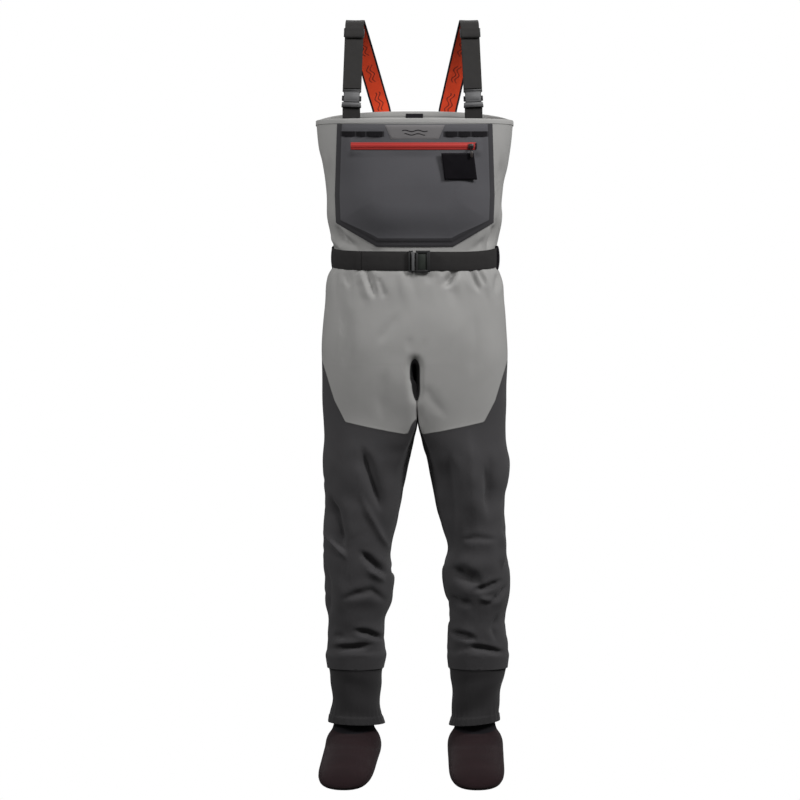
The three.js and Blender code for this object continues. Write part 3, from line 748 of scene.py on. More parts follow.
# Folds in front: the line each follows, its half-width and how deep it is; ridges are negative
FOLDS = [
    # from the belt down over the hips
    ([(-99, -503), (-92, -530), (-78, -570)], 9, 8.0),
    ([(-82, -515), (-70, -540), (-60, -572)], 6, 4.5),
    ([(-112, -506), (-108, -540)], 7, -3.0),
    ([(-140, -506), (-132, -545)], 9, 3.5),
    ([(88, -503), (74, -525), (54, -545)], 9, 9.0),
    ([(60, -503), (52, -518)], 6, 4.0),
    ([(112, -503), (123, -530), (136, -558)], 7, 7.0),
    ([(128, -503), (137, -524), (146, -545)], 5, 5.5),
    ([(171, -512), (167, -560)], 9, 4.0),
    ([(30, -508), (26, -540)], 7, 2.4),
    ([(-26, -590), (-52, -625), (-84, -665)], 14, 1.4),
    ([(-14, -640), (-6, -682)], 8, 1.5),
    ([(20, -645), (10, -684)], 8, 1.2),
    ([(-150, -560), (-140, -640), (-146, -720)], 20, 2.2),
    ([(120, -580), (126, -660), (118, -740)], 24, 1.8),
    ([(-60, -700), (-70, -770), (-66, -820)], 18, 1.6),
    ([(12, -735), (36, -775), (66, -812)], 15, 1.6),
    # above the belt
    ([(-168, -412), (-145, -447), (-100, -476)], 8, 7.0),
    ([(-172, -432), (-158, -458), (-134, -478)], 6, -4.0),
    ([(-118, -452), (-96, -466), (-60, -474)], 6, 3.0),
    ([(168, -395), (160, -440), (146, -476)], 9, 6.0),
    ([(146, -440), (128, -462), (96, -474)], 7, 4.0),
    ([(-196, -252), (-188, -330), (-180, -400)], 9, 3.5),
    ([(192, -300), (184, -360), (176, -408)], 9, 3.5),
    ([(-176, -262), (-170, -330), (-168, -400)], 10, 2.2),
    ([(178, -270), (174, -340), (168, -392)], 10, 2.2),
    # the wearer's right leg
    ([(-110, -862), (-98, -905), (-82, -955), (-66, -1008)], 14, 9.0),
    ([(-172, -965), (-166, -1010), (-152, -1060), (-140, -1090)], 17, 12.0),
    ([(-114, -958), (-94, -1005), (-68, -1055), (-44, -1095)], 9, -4.0),
    ([(-188, -1046), (-164, -1072), (-136, -1104)], 7, -5.0),
    ([(-116, -1082), (-92, -1103), (-52, -1138)], 9, 8.0),
    ([(-100, -1120), (-76, -1138), (-56, -1150)], 9, -4.0),
    ([(-156, -1186), (-120, -1173), (-88, -1166), (-50, -1196)], 10, 4.0),
    ([(-184, -1105), (-178, -1180), (-180, -1240)], 14, 5.0),
    ([(-130, -1248), (-96, -1254), (-58, -1272)], 7, 8.0),
    ([(-182, -1288), (-130, -1284), (-78, -1279)], 6, 8.0),
    ([(-172, -1262), (-140, -1262)], 8, 3.0),
    ([(-180, -1306), (-120, -1300), (-68, -1298)], 7, -3.0),
    # the wearer's left leg
    ([(112, -830), (118, -920), (122, -1000), (118, -1060)], 24, -5.0),
    ([(142, -900), (150, -960), (146, -1010)], 12, 5.0),
    ([(66, -870), (74, -960), (84, -1060)], 20, 5.0),
    ([(152, -880), (158, -960), (150, -1030)], 18, 4.0),
    ([(176, -1035), (180, -1080), (178, -1130)], 7, -4.0),
    ([(88, -1062), (130, -1057), (176, -1062)], 8, 2.5),
    ([(70, -1116), (100, -1134), (142, -1154)], 17, 10.0),
    ([(112, -1166), (146, -1160), (182, -1143)], 7, 6.5),
    ([(128, -1180), (150, -1185), (172, -1186)], 7, -4.0),
    ([(146, -1196), (172, -1180), (194, -1152)], 6, 5.0),
    ([(70, -1176), (92, -1190), (122, -1196)], 8, 4.0),
    ([(66, -1254), (100, -1260), (132, -1268)], 8, 8.0),
    ([(104, -1280), (150, -1288), (192, -1300)], 6, 8.0),
    ([(76, -1300), (110, -1296), (150, -1308)], 8, -3.0),
    ([(172, -1215), (160, -1245), (168, -1275)], 9, 3.5),
]
# Folds behind: under the seat, behind the knees, over the calves and the thighs: height, reach, count, depth
BACK_FOLDS = [(-760, 50, 4, 4.0), (-1110, 60, 7, 6.0), (-1250, 70, 6, 5.0), (-930, 120, 4, 3.0)]
SEED = 7


def random_folds(points, normals):
    """Folds at the back, where the front view shows none of them."""
    draw = np.random.default_rng(SEED)
    total = np.zeros(len(points))
    for sign in (1, -1):
        for height, reach, count, depth in BACK_FOLDS:
            for _ in range(count):
                middle = sign * draw.uniform(70, 165)
                z = height + draw.uniform(-reach, reach)
                half, slope = draw.uniform(28, 60), draw.uniform(-0.7, 0.7)
                line = [(middle - half, z - slope * half), (middle, z + draw.uniform(-5, 5))]
                line.append((middle + half, z + slope * half))
                width = draw.uniform(6, 11)
                total += crease(points, normals, line, width, depth * draw.uniform(0.6, 1.2), facing=1)
    return total


def waves(points, seed, count, longest, shortest, amount):
    """A gentle all-over unevenness: sines of many directions and lengths."""
    draw = np.random.default_rng(seed)
    total = np.zeros(len(points))
    for _ in range(count):
        way = draw.normal(size=3)
        way /= np.linalg.norm(way)
        length = draw.uniform(shortest, longest)
        total += np.sin(points @ way * 2 * math.pi / length + draw.uniform(0, 6.28)) * length / longest
    return total * amount / math.sqrt(count)


def gathers(points):
    """Pleats above and below the belt, where it draws the cloth in."""
    angle = np.arctan2(points[:, 1] / 110, points[:, 0] / 170)
    off = points[:, 2] - BELT_Z
    below = smoothstep(-off, 16, 34) * (1 - smoothstep(-off, 40, 105))
    above = smoothstep(off, 16, 30) * (1 - smoothstep(off, 34, 80))
    slanted = angle + 0.0012 * off
    pleats = np.sin(17 * slanted + 0.6) + 0.8 * np.sin(29 * slanted + 2.1) + 0.6 * np.sin(41 * slanted + 4.0)
    return pleats * (1.3 * below + 0.8 * above)


def held_share(points):
    """How freely the cloth folds: not at the rim or the leg's end, nor under the chest pocket."""
    x, z = np.abs(points[:, 0]), points[:, 2]
    free = smoothstep(-z, 240, 290) * smoothstep(z - SEAM_Z, 22, 40)
    beside = smoothstep(x, 158, 172) + (z < -425) * smoothstep(x, 100, 150)
    under_pocket = (points[:, 1] < 0) & (z > -470)
    return np.clip(free * np.where(under_pocket, beside, 1), 0, 1)


def folded(points, faces):
    """The same points with every fold, pleat and wave, and the hem band at the end of each leg."""
    normals = cloth_normals(points, faces)
    down = -points[:, 2]
    moved = sum(crease(points, normals, *fold) for fold in FOLDS)
    moved += random_folds(points, normals) + gathers(points)
    moved += waves(points, SEED + 1, 14, 160, 70, 0.9) * smoothstep(down, 505, 560)
    moved += waves(points, SEED + 2, 20, 60, 28, 0.9) * smoothstep(down, 820, 900)
    hem = 3.0 * smoothstep(SEAM_Z + 34 + down, 0, 6)
    return points + normals * (moved * held_share(points) + hem)[:, None] + cleft(points)


def split_shell(points, faces, parts, cloth, panel):
    """Subdivides the whole skin once and cuts it into its pieces, keeping the whole skin's normals."""
    names = sorted(set(parts))
    whole = piece("whole_shell", points, faces, "shell", cloth * MM, panel * MM)
    labels = whole.data.attributes.new("part", "INT", "FACE")
    labels.data.foreach_set("value", [names.index(part) for part in parts])
    finer = whole.modifiers.new("finer", "SUBSURF")
    finer.levels = finer.render_levels = 1
    graph = bpy.context.evaluated_depsgraph_get()
    mesh = bpy.data.meshes.new_from_object(whole.evaluated_get(graph))
    co = fetch(mesh, "position", len(mesh.vertices) * 3, "vector", float).reshape(-1, 3)
    quads = fetch(mesh, ".corner_vert", len(mesh.loops), kind=np.int32).reshape(-1, 4)
    label = fetch(mesh, "part", len(quads), kind=np.int32)
    place = fetch(mesh, "cloth", len(co) * 3, "vector").reshape(-1, 3)
    edge = fetch(mesh, "panel", len(co))
    normal = cloth_normals(co, quads)
    made = {}
    for k, name in enumerate(names):
        mine = quads[label == k]
        used = np.unique(mine)
        o = piece(name, co[used] / MM, np.searchsorted(used, mine), "shell", place[used], edge[used])
        o.data.normals_split_custom_set_from_vertices(normal[used])
        made[name] = o
    bpy.data.objects.remove(whole)
    return made


def shell():
    points, faces, parts, around = base_shell()
    made = split_shell(folded(points, faces), faces, parts, around, panel_distance(points))
    for name in ("bib_front", "bib_back"):
        o = made[name]
        thicken(o, 1.6)
        done(o, "torso", "light_fabric", f"{name}_panel")
    for side, sign in SIDES:
        o = made[f"hips_{side}"]
        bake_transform(o)
        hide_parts(f"thigh_front_{side}", f"thigh_back_{side}", "hip_front_panel", "seat_panel")
        o = made[f"leg_{side}"]
        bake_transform(o)
        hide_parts(f"shin_{side}")


shell()

# ------------------------------------------------------------------ rim
HEM_PROFILE = [
    (0.2, -9.0), (0.9, -8.7), (1.0, -5), (0.9, -1), (0.5, 0.3), (-0.3, 0.8), (-1.4, 0.8), (-2.2, 0.2),
    (-2.6, -1), (-2.6, -5), (-2.5, -8.7), (-1.9, -9.0),
]


def hem(side, start, end):
    angle = np.linspace(start, end, 90)
    place = torso_points(angle, rim_height(angle))
    outward = torso_points(angle, rim_height(angle), 10) - place
    outward[:, 2] = 0
    o = swept(f"{side}_hem", (place, unit(outward), np.tile(UP, (90, 1))), HEM_PROFILE, "hem")
    done(o, "torso", "light_fabric", f"{side}_rim_tape")


hem("front", -math.pi, 0.0)
hem("back", 0.0, math.pi)

# ------------------------------------------------------------------ chest pocket and what is sewn on it
TAPE = 10
POCKET_TOP, POCKET_BOTTOM = -212, -461
POCKET_OUTLINE = [
    (-158, -212), (-163, -357), (-161, -414), (-79, -461), (79, -461), (161, -414), (163, -357), (158, -212),
]
ZIP_Z, ZIP_FROM, ZIP_TO = -257, -130, 124
ZIP_FRONT, ZIP_RADIUS = -131.3, 470  # the zip lies on an arc round the chest


def zip_y(x, lift):
    return ZIP_FRONT + ZIP_RADIUS - np.sqrt((ZIP_RADIUS + lift) ** 2 - np.asarray(x, float) ** 2)


def pocket_lift(x, z):
    """How far the pocket stands off the bib, and how far in from its edge that is."""
    edge, _ = line_distance(x, z, POCKET_OUTLINE)
    below = smoothstep(POCKET_TOP - z, 50, 130)
    puff = smoothstep(edge, TAPE - 3, TAPE + 3) * 1.8 + smoothstep(edge, TAPE, 80) * 6.0 * below
    puff = puff * smoothstep(POCKET_TOP + 4 - z, 0, 14) + smoothstep(edge, 0, 4) * 0.8
    soft = 0.8 * np.sin(x / 31 + 1.0) * np.cos(z / 43) + 0.5 * np.sin(z / 24 + x / 60)
    return 2.2 + puff + soft * smoothstep(edge, TAPE, 50) * below, edge


def pocket():
    """The pocket: a swelling panel with a flat channel for the zip and a bonded tape round its edge."""
    u, v = patch_grid(120, 120)
    z = POCKET_BOTTOM + (POCKET_TOP - POCKET_BOTTOM) * v
    x = u * np.interp(z, [z for _, z in POCKET_OUTLINE[4:]], [x for x, _ in POCKET_OUTLINE[4:]])
    lift, edge = pocket_lift(x, z)
    outer = front_y(x, z, lift)
    channel = (1 - smoothstep(np.abs(z - ZIP_Z), 8, 24)) * (1 - smoothstep(np.abs(x), 128, 140))
    outer += channel * (zip_y(np.clip(x, -140, 140), -0.1) - outer)
    taped = TAPE - 1 + 7 * smoothstep(-z, 405, 440)
    o = patch("chest_pocket", x, z, outer, front_y(x, z, 0.8), "pocket", panel=edge - taped)
    done(o, "torso", "pocket_fabric", "chest_pocket_panel", "pocket_edge_tape")


def yoke():
    """A trapezoid of mid-grey fabric with a plain mark of two wavy lines."""
    bottom, height, corner = -243, 29, 13
    u, v = patch_grid(40, 14)
    z = bottom + height * v
    x = u * (48 + corner * v)
    edge = np.minimum(np.minimum(height * v, height - height * v), (1 - np.abs(u)) * 50)
    lift = pocket_lift(x, z)[0] + 0.4 + 0.9 * smoothstep(edge, 0, 2.5)
    o = patch("yoke", x, z, front_y(x, z, lift), front_y(x, z, lift - 1.0), "yoke")
    done(o, "torso", "pocket_fabric", "yoke_patch")
    for k, middle in enumerate((-226, -233)):
        line_x = np.linspace(-1, 1, 60) * (26 - 5 * k)
        line_z = middle + 1.5 * np.sin(line_x / 4.2)
        line_y = front_y(line_x, line_z, pocket_lift(line_x, line_z)[0] + 1.4)
        ridge = [(-1.1, -0.6), (1.1, -0.6), (0.8, 0.3), (-0.8, 0.3)]
        path = facing_front(np.stack([line_x, line_y, line_z], -1))
        done(swept(f"yoke_wave_{k + 1}", path, ridge, "tag"), "torso", "black_trim")


# distance of each daisy chain's bar tacks from the middle
CHAIN_TACKS = {"left": [60, 87, 114, 148], "right": [64, 99.5, 120.5, 149.5]}


def daisy_chain(side, sign):
    """A strip of webbing tacked down at intervals, so that it stands off in loops between them."""
    tacks = CHAIN_TACKS[side]
    past, bottom, width, thickness = 1.5, -237.4, 10.4, 1.3
    u, v = np.meshgrid(spread(100, 0), spread(7, 0.4))
    x = tacks[0] - past + (tacks[-1] - tacks[0] + 2 * past) * u
    gap = np.min([np.abs(x - tack) for tack in tacks], axis=0)
    z = bottom + width * v
    lift = pocket_lift(x, z)[0] + 0.8 + 1.7 * smoothstep(gap, 1.8, 9)
    outer, inner = front_y(sign * x, z, lift), front_y(sign * x, z, lift - thickness)
    o = patch(f"daisy_chain_loops_{side}", sign * x, z, outer, inner, "daisy", panel=gap - 0.8)
    done(o, "torso", "black_trim", f"daisy_chain_{side}")


def zip_tape():
    """Coated zip: two tapes rising to a pair of lips that meet over the coil."""
    half = np.array([0.15, 0.5, 1.6, 2.6, 3.2, 5, 6.8, 7.5])
    rise = np.array([0.9, 1.7, 1.8, 1.3, 0.7, 0.5, 0.3, -0.4])
    across, rise = np.append(-half[::-1], half), np.append(rise[::-1], rise)
    x, k = np.meshgrid(np.linspace(ZIP_FROM, ZIP_TO, 120), np.arange(len(across)))
    o = patch("zip", x, ZIP_Z + across[k], zip_y(x, rise[k] + 0.9), zip_y(x, -0.6), "red", 50)
    done(o, "torso", "zipper_red", "zipper_tape")
    place = Matrix.Translation(Vector((ZIP_TO, float(zip_y(ZIP_TO, 1.6)), ZIP_Z)) * MM)
    done(blocks("zip_stop", [((4, 3, 12), (0, 0, 0))], "black", place, 0.8), "torso", "black_trim")


def zip_slider():
    """The slider with its bridge, and a pull of cord with a grip; boxes are across, out and up."""
    x = 113
    turn = Matrix.Rotation(math.asin(x / ZIP_RADIUS), 4, "Z")
    place = Matrix.Translation(Vector((x, float(zip_y(x, 0)), ZIP_Z)) * MM) @ turn
    slider = [
        ((11, 2.8, 9.5), (0, -3.4, 0)), ((9, 1.6, 6), (0, -5.0, 0)), ((2.6, 3, 2.4), (0, -6, 2.5)),
        ((2.6, 3, 2.4), (0, -6, -3)), ((2.6, 1.3, 8), (0, -7.4, -0.3)),
    ]
    done(blocks("slider", slider, "zip_metal", place, 0.7), "zip_slider", "black_trim", "zipper_slider")
    loop = [(-1.6, -0.6), (-2.4, -5), (-2.2, -10), (0, -11.4), (2.2, -10), (2.4, -5), (1.6, -0.6), (0, 0)]
    rows = np.array([(across, -9.9 + 0.02 * up, up) for across, up in loop + loop[:1]])
    t = np.linspace(0, 1, 40, endpoint=False) * len(loop)
    cord = np.stack([np.interp(t, np.arange(len(rows)), rows[:, i]) for i in range(3)], -1)
    ring = [(0.8 * math.cos(a), 0.8 * math.sin(a)) for a in np.arange(8) * math.pi / 4]
    o = swept("pull_cord", facing_front(cord, closed=True), ring, "black", closed=True)
    o.data.transform(place)
    done(o, "zip_pull", "black_trim")
    grip = [((5, 3, 13), (0, -10.2, -16.5)), ((3.6, 3.6, 9), (0, -10.2, -16.5))]
    done(blocks("pull_grip", grip, "zip_metal", place, 1.1), "zip_pull", "black_trim", "zipper_pull")


def fly_patch():
    """A foam pad under a smooth black cover, leaning slightly."""
    low, high = (np.array(corner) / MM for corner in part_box("fly_patch"))
    lean, half, tall, level = 3.6, 33, 27, -298
    middle = (low[0] + high[0]) / 2
    u, v = np.meshgrid(2 * spread(60) - 1, 2 * spread(50) - 1)
    x = middle + u * half - lean * v
    z = (low[2] + high[2]) / 2 + v * tall
    slope = (front_y(middle + half, level) - front_y(middle - half, level)) / (2 * half)
    base = front_y(middle, level, 10.5) + (x - middle) * slope
    edge = np.minimum((1 - np.abs(u)) * half, (1 - np.abs(v)) * tall)
    round_edge = np.sqrt(np.clip(1 - (1 - np.clip(edge / 3.4, 0, 1)) ** 2, 0, 1))
    puff = 2.4 * round_edge + 0.5 * smoothstep(edge, 3, 20)
    o = patch("fly_pad", x, z, base - puff, base + 1.2, "pad", 50)
    done(o, "torso", "black_trim", "fly_patch")


def inside_label():
    u, v = patch_grid(16, 10)
    x, z = 17.5 * u, -212 + 20 * v
    y = -front_y(x, z, -2.6)
    o = patch("label", x, z, y, y - 0.8, "black", sharp=None)
    done(o, "torso", "black_trim", "size_label")


pocket()
yoke()
for side, sign in SIDES:
    daisy_chain(side, sign)
zip_tape()
zip_slider()
fly_patch()
inside_label()

# ------------------------------------------------------------------ waist belt
BELT_PROFILE = [
    (-1.1, -19), (-0.9, -19.4), (0.9, -19.4), (1.1, -19), (1.15, -6), (1.2, 0), (1.15, 6), (1.1, 19),
    (0.9, 19.4), (-0.9, 19.4), (-1.1, 19),
]


def belt_angle(x):
    """The angle at which the front of the belt is x to the side."""
    half, _, roundness = smooth_table(TORSO, BELT_Z)
    return -math.acos(math.copysign((abs(x) / (half + 4.5)) ** (roundness / 2), x))


def belt_strip(name, start, end, count, lift=4.6):
    """Webbing round the waist from one angle to another, dipping a little towards the buckle."""
    angle = np.linspace(start, end, count)
    place = torso_points(angle, BELT_Z, lift)
    place[:, 2] = BELT_Z + 6.5 * (1 + np.sin(angle)) * np.cos(angle) ** 2 + 0.8 * np.sin(3 * angle + 0.7)
    along = unit(np.gradient(place, axis=0))
    up = unit(np.tile(UP, (count, 1)) - along * along[:, 2:])
    return swept(name, (place, np.cross(along, up), up), BELT_PROFILE, "belt")


def belt():
    o = belt_strip("belt_long", belt_angle(30), 2 * math.pi + belt_angle(-110), 220)
    done(o, "torso", "belt_webbing", "belt_webbing")
    o = belt_strip("belt_short", belt_angle(-110.5), belt_angle(-8), 60)
    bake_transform(o)
    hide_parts("belt_webbing_front")
    # the strip doubles back over itself near its adjusting slot
    o = belt_strip("belt_tail", belt_angle(-118), belt_angle(-109), 10, 7.2)
    done(o, "torso", "belt_webbing")


def belt_buckle():
    """A side-release buckle that opens towards the wearer's right; boxes are across, out and up."""
    low, high = (np.array(corner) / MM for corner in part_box("belt_buckle_female"))
    place = Matrix.Translation(Vector((0, low[1], (low[2] + high[2]) / 2)) * MM)

    catch = [
        ((27, 2.0, 43), (16.5, 8.0, 0)), ((5, 9, 44), (28.5, 4.6, 0)), ((3, 8.5, 44), (3.5, 4.6, 0)),
        ((27, 2.6, 5), (16, 1.6, 19.5)), ((27, 2.6, 5), (16, 1.6, -19.5)), ((4, 2.4, 36), (4.5, 1.6, 0)),
        ((4.5, 2.4, 36), (26.5, 1.6, 0)),
    ]
    fitting("belt_catch", catch, "plastic_dark", place, 0.9, "torso", "belt_buckle_female")
    fitting("belt_catch_face", [((18, 1.6, 34), (14.5, 3.6, 0))], "recess", place, 0.7, "torso")
    plug = [
        ((3.4, 7.5, 44), (-5.2, 4.6, 0)), ((3.2, 6.5, 42), (-11.2, 5.6, 0)), ((9, 6, 3), (-8, 5, 20)),
        ((9, 6, 3), (-8, 5, -20)), ((22, 3, 8), (6, 5.4, 0)),
    ]
    fitting("belt_plug", plug, "plastic_dark", place, 0.8, "belt_buckle", "belt_buckle_male")
    # the plug's bar is in the lighter plastic: painted light on the raised bar
    fitting("belt_plug_bar", [((5.6, 3.2, 39), (-3.4, 1.6, 0))], "plastic_painted_light", place, 1.1, "belt_buckle")
    for end, sign in (("upper", 1), ("lower", -1)):
        arm = [((22, 3.6, 3.4), (7.5, 5.0, sign * 16)), ((9, 3.6, 5), (15.5, 5.0, sign * 19.2))]
        prong = f"belt_prong_{end}"
        fitting(f"belt_arm_{end}", arm, "plastic_dark", place, 1.0, prong, prong)


def belt_carrier(side, angle, half, thickness):
    """A flat loop of webbing sewn above and below the belt, standing a little clear of it."""
    t = np.linspace(0, 1, 36)[:, None]
    z = BELT_Z + 4 + (2 * t - 1) * 25
    around = np.linspace(angle - half, angle + half, 6)[None, :]
    lift = 2.2 + 4.0 * np.sin(math.pi * t) ** 0.55
    angles, z = np.broadcast_arrays(around, z)
    outer = torso_points(angles, BELT_Z, lift + thickness)
    inner = torso_points(angles, BELT_Z, lift)
    outer[..., 2] = inner[..., 2] = z
    cloth = np.stack([angles * 170, z], -1) * MM
    o = grid_solid(f"belt_carrier_{side}", outer, inner, "tag", cloth, 50)
    done(o, "torso", "belt_webbing", f"belt_loop_{side}")


belt()
belt_buckle()
belt_carrier("left", -0.11, 0.06, 4.0)
belt_carrier("right", math.pi + 0.06, 0.055, 0.9)
belt_carrier("back", math.pi / 2, 0.075, 1.2)

# ------------------------------------------------------------------ suspenders
TILT = math.radians(12)  # how far the front runs lean back
STRAP_FOOT = (-93.0, -177.0)  # depth and height of their lower ends
RUN, RUN_TOP = 200, 143
LOW_X = {"left": 119.6, "right": -129.0}
HIGH_X = {"left": 110.5, "right": -121.5}
BACK_X = {"left": 68.0, "right": -67.0}
BACK_DROP = 190


def ribbon(name, rows, count, look, width=38.0, inner_look=None, twist=0.0, bow=0.0):
    """Webbing along a smooth path; where the path runs up, its outer face is the front."""
    thickness = 1.5
    place = smooth_path(rows, count)
    along = unit(np.gradient(place, axis=0))
    across = unit(np.tile([1.0, 0, 0], (count, 1)) - along * along[:, :1])
    inward = np.cross(along, across)
    turn = np.radians(twist) * np.linspace(0, 1, count)[:, None]
    c, s = np.cos(turn), np.sin(turn)
    across, inward = across * c + inward * s, inward * c - across * s
    u = np.array([-1, -0.96, -0.8, -0.4, 0, 0.4, 0.8, 0.96, 1.0])
    half = thickness / 2 * (1 - 0.55 * (np.abs(u) > 0.97))

    def face(side):
        depth = (bow * (1 - u**2) + side * half)[:, None]
        return place[:, None] + across[:, None] * (u * width / 2)[:, None] + inward[:, None] * depth

    cloth = np.stack(np.meshgrid(u * width / 2, travelled(place)), -1) * MM
    return grid_solid(name, face(-1), face(1), look, cloth, 50, inner_look=inner_look)


def along_run(side, s, away=0.0):
    """The place a distance s up the straight front run, moved away from its surface."""
    x = LOW_X[side] + (HIGH_X[side] - LOW_X[side]) * min(1.0, s / RUN)
    y = STRAP_FOOT[0] + s * math.sin(TILT) - away * math.cos(TILT)
    return x, y, STRAP_FOOT[1] + s * math.cos(TILT) + away * math.sin(TILT)


def front_webs(side):
    """The front run and the layer doubled back on it."""
    single = [(37, 0), (60, 0), (90, 0), (120, 0), (RUN_TOP, 0)]
    doubled = [(37.5, 1.8), (48, 2.3), (75, 2.3), (104, 2.3), (118, 2.6)]
    for kind, rows, count, width in (("front", single, 60, 38), ("return", doubled, 50, 37)):
        rows = [along_run(side, *row) for row in rows]
        o = ribbon(f"{kind}_web_{side}", rows, count, "webbing", width)
        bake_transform(o)
        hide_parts(f"strap_{kind}_{side}")


def shoulder_and_back(side, sign):
    """The stretch over the shoulder, the run down the back and the sewn tab in front."""
    low, high = LOW_X[side], HIGH_X[side]
    over = [along_run(side, RUN_TOP - 2, 0.2), along_run(side, RUN_TOP + 18, 0.2)]
    over += [(along_run(side, 175)[0], -50, -8), (high, -34, -2.2)]
    over += [(high - sign * 0.3, -14, -1.2), (high - sign * 1, 6, -4)]
    o = ribbon(f"shoulder_web_{side}", over, 40, "webbing", bow=0.6)
    done(o, "torso", "strap_webbing", f"strap_shoulder_{side}")
    inward = (high - BACK_X[side]) / BACK_DROP
    fall = [(4, -3.4), (26, -13), (54, -34), (84, -68), (108, -110), (121, -155), (124.8, -188)]
    fall += [(127.4, -222), (127.8, -240)]
    down = [(high + inward * max(z, -200), y, z) for y, z in fall]
    o = ribbon(f"back_web_{side}", down, 90, "webbing", inner_look="lining", bow=0.8, twist=9 * sign)
    done(o, "torso", "strap_webbing", f"strap_back_{side}")
    tab = [(low, -91.9, -176), (low, -92.6, -188), (low, -94, -205), (low, -94.5, -244)]
    done(ribbon(f"tab_{side}", tab, 30, "tab", 36), "torso", "strap_webbing", f"strap_tab_{side}")


def strap_fittings(side, sign):
    """Buckle and adjuster, made upright and leaned back with the run; boxes are across, out and up."""
    low, high = LOW_X[side], HIGH_X[side]
    lean = Matrix.Rotation(-TILT, 4, "X") @ Matrix.Rotation(math.atan2(high - low, RUN), 4, "Y")
    place = Matrix.Translation(Vector((low, *STRAP_FOOT)) * MM) @ lean

    catch = [
        ((31, 1.8, 24), (0, 2.6, 16)), ((40, 8.6, 5), (0, -0.8, 0.6)), ((33, 8.0, 3), (0, -0.8, 4.4)),
        ((3, 7.4, 22), (-14.8, -0.8, 16)), ((3, 7.4, 22), (14.8, -0.8, 16)),
    ]
    fitting(f"catch_{side}", catch, "plastic", place, 0.8, "torso", f"buckle_female_{side}")
    # the face plate is in the lighter plastic: painted reflection
    face = [((30, 2.2, 20), (0, -4.6, 19)), ((24, 1.4, 12), (0, -5.4, 19))]
    fitting(f"catch_face_{side}", face, "plastic_painted_reflection", place, 1.4, "torso")
    # the lower bar is in the lighter plastic: painted light on the raised bar
    fitting(f"catch_bar_{side}", [((39, 6.4, 7.5), (0, -2.4, 4.6))], "plastic_painted_light", place, 1.6, "torso")
    plug = [
        ((38, 6.6, 4), (0, -0.8, 33.5)), ((38, 2.2, 8), (0, 1.6, 34)), ((7, 2.6, 16), (0, -0.8, 22)),
        ((34, 5.4, 4), (0, -0.8, 30)),
    ]
    fitting(f"plug_{side}", plug, "plastic", place, 0.8, f"buckle_{side}", f"buckle_male_{side}")
    for end, way in (("outer", sign), ("inner", -sign)):
        arm = [((3, 3.2, 19), (way * 14.8, -0.8, 19)), ((4.4, 4.4, 11), (way * 17.6, -0.8, 16.5))]
        prong = f"prong_{end}_{side}"
        fitting(f"arm_{end}_{side}", arm, "black", place, 1.3, prong, f"buckle_{prong}")
    top = RUN_TOP + 8
    three_bar = [
        ((42, 2.4, 3), (0, -5.2, top - 7)), ((42, 2.4, 3), (0, -5.2, top + 9)),
        ((40, 2.6, 3), (0, -4.6, top + 1)), ((2.4, 2.6, 18), (19.8, -5.2, top + 1)),
        ((2.4, 2.6, 18), (-19.8, -5.2, top + 1)),
    ]
    fitting(f"three_bar_{side}", three_bar, "plastic", place, 1.0, f"adjuster_{side}", f"adjuster_{side}")
    wrap = [(-9, 4.7), (-7, 6.8), (-3, 7.7), (4, 7.5), (11, 7.0), (15, 4.9), (16, 4.6)]
    wrap = [along_run(side, top + s, away) for s, away in wrap]
    o = ribbon(f"fold_web_{side}", wrap, 30, "webbing", 37.5, bow=0.3)
    done(o, f"adjuster_{side}", "strap_webbing")


def anchor_patch():
    u, v = patch_grid(60, 16)
    height = 40
    z = -266 + height * v
    x = u * (52 + 40 * v)
    edge = np.minimum((1 - np.abs(u)) * 60, np.minimum(v, 1 - v) * height)
    outer = -front_y(x, z, 1.2 + 2.6 * smoothstep(edge, 0, 3))
    o = patch("anchor_patch", x, z, outer, -front_y(x, z, 0.4), "hem")
    done(o, "torso", "light_fabric", "back_anchor_patch")


for side, sign in SIDES:
    front_webs(side)
    shoulder_and_back(side, sign)
    strap_fittings(side, sign)
anchor_patch()

# ------------------------------------------------------------------ gravel guards and stocking feet
# Outlines as seen from the front: height, inner edge, outer edge; then height, centre, half-depth
GUARD_OUTLINE = {
    "right": [
        (-1443, -62, -177), (-1425, -68, -174), (-1394, -70, -170), (-1360, -69, -172), (-1328, -66, -177),
    ],
    "left": [(-1443, 72, 175), (-1425, 77, 173), (-1394, 77, 176), (-1360, 75, 182), (-1328, 72, 190)],
}
GUARD_DEPTH = [(-1443, 11, 60), (-1425, 11, 57), (-1394, 11, 57), (-1360, 10, 60), (-1328, 9, 63)]


def guard(side, sign):
    """The outer cuff over the ankle, gathered at its hem."""
    rows, n, top, length, middle_x = 60, 128, -1328, 116, 125
    phi, t = np.meshgrid(np.arange(n) * 2 * math.pi / n, np.linspace(0, 1, rows))
    z = top - length * t
    inner, outer = smooth_table(GUARD_OUTLINE[side], z)
    middle, depth = smooth_table(GUARD_DEPTH, z)
    gather = 0.5 * smoothstep(t, 0.55, 0.9) * np.sin(26 * phi + 2 * np.sin(3 * phi))
    gather *= 1 - smoothstep(t, 0.97, 1.0)
    sag = 1.6 * np.sin(phi * 2 + t * 9 + sign) * smoothstep(t, 0.05, 0.3) * (1 - smoothstep(t, 0.7, 0.95))
    lift = gather + sag + 1.4 * smoothstep(t, 0.86, 0.88) + 1.2 * (1 - smoothstep(t, 0.02, 0.05))
    tilt = 0.07 * (side == "left") * smoothstep(t, 0.4, 1)  # this hem hangs aslant

    def face(extra):
        x = (inner + outer) / 2 + sign * (np.abs(outer - inner) / 2 + lift + extra) * np.cos(phi)
        y = middle + (depth + lift + extra) * np.sin(phi)
        return np.stack([x, y, z + 1.5 * np.sin(phi + 1) + tilt * (x - middle_x)], -1)

    cloth = np.stack([phi * 55, z], -1) * MM
    o = grid_solid(f"guard_{side}", face(0), face(-1.6), "guard", cloth, 60, closed=True)
    done(o, f"shin_{side}", "guard_fabric", f"gravel_guard_{side}")


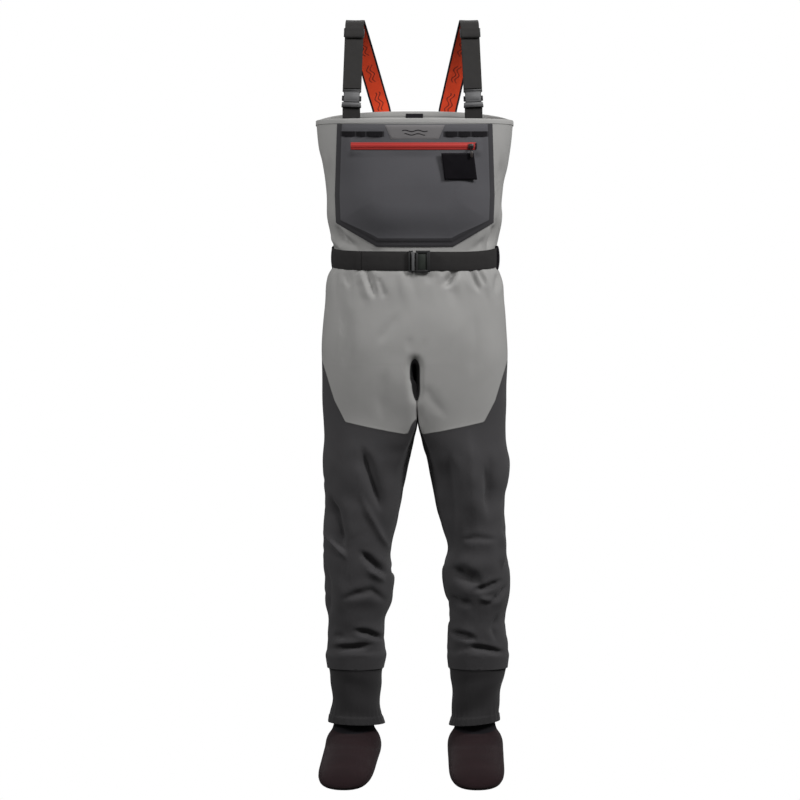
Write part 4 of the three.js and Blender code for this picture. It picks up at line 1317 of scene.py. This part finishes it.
# Stocking foot: upper line and lower line, each forward of the ankle and above it, half-width, flare
FOOT = [
    (41, 130, -42, 130, 41, 0), (42, 80, -43, 80, 41, 0), (42, 46, -44, 46, 40, 0), (44, 34, -45, 32, 41, 0),
    (48, 26, -48, 18, 44, 0), (57, 22, -54, -2, 52, 0), (64, 19, -60, -22, 56, 0.04),
    (70, 17, -64, -40, 57, 0.08), (76, 15, -52, -51, 57, 0.1), (83, 13, -25, -54, 57, 0.1),
    (91, 11, 10, -54, 57, 0.06), (103, 7, 45, -54, 57, 0.03), (119, 2, 80, -54, 57, 0),
    (137, -5, 116, -54, 56, 0), (155, -12, 148, -53, 52, 0), (170, -20, 170, -50, 44, 0),
    (180, -28, 182, -45, 32, 0), (186, -35, 188, -40, 14, 0),
]
FOOT_PITCH = math.radians(14)
FOOT_YAW = {"left": math.radians(1), "right": math.radians(8)}
ANKLE_SEAM = 24  # above the ankle; the cuff over it is darker


def stocking(side, sign):
    """The neoprene cuff and foot: an upright tube that turns into a foot with its toes down and out."""
    rows, n = 96, 56
    top, bottom, half, flare = np.split(smooth_path(FOOT, rows), [2, 4, 5], axis=1)
    phi = np.arange(n) * 2 * math.pi / n
    c, s = np.cos(phi), np.sin(phi)
    across = half * np.sign(c) * np.abs(c) ** 0.92 * (1 + flare * s)
    middle, reach = (top + bottom) / 2, (top - bottom) / 2
    forward, height = (middle[:, i : i + 1] + reach[:, i : i + 1] * s for i in (0, 1))
    points = np.stack([across, -forward, height], -1)
    points = np.concatenate([points.reshape(-1, 3), [points[-1].mean(0)]])
    last = (rows - 1) * n
    faces = ring_faces(rows, n) + [(last + i, last + (i + 1) % n, rows * n) for i in range(n)]
    height = points[:, 2]
    straight = smoothstep(height, 10, 50)[:, None]
    turn = np.array(Matrix.Rotation(FOOT_YAW[side], 3, "Z") @ Matrix.Rotation(FOOT_PITCH, 3, "X"))
    points = (points @ turn.T) * (1 - straight) + points * straight + np.array(ANKLE)
    points[:, 0] *= sign
    run = np.repeat(np.arange(rows) * 4.0, n)
    cloth = np.stack([np.append(np.tile(phi * 45, rows), 0), np.append(run, rows * 4)], -1) * MM
    o = piece(f"stocking_{side}", points, faces, "neoprene", cloth, (ANKLE_SEAM - height) * MM)
    face_out(o)
    thicken(o, 4)
    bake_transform(o)
    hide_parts(f"sock_cuff_{side}", f"sock_upper_{side}", f"sock_sole_{side}")


for side, sign in SIDES:
    guard(side, sign)
    stocking(side, sign)
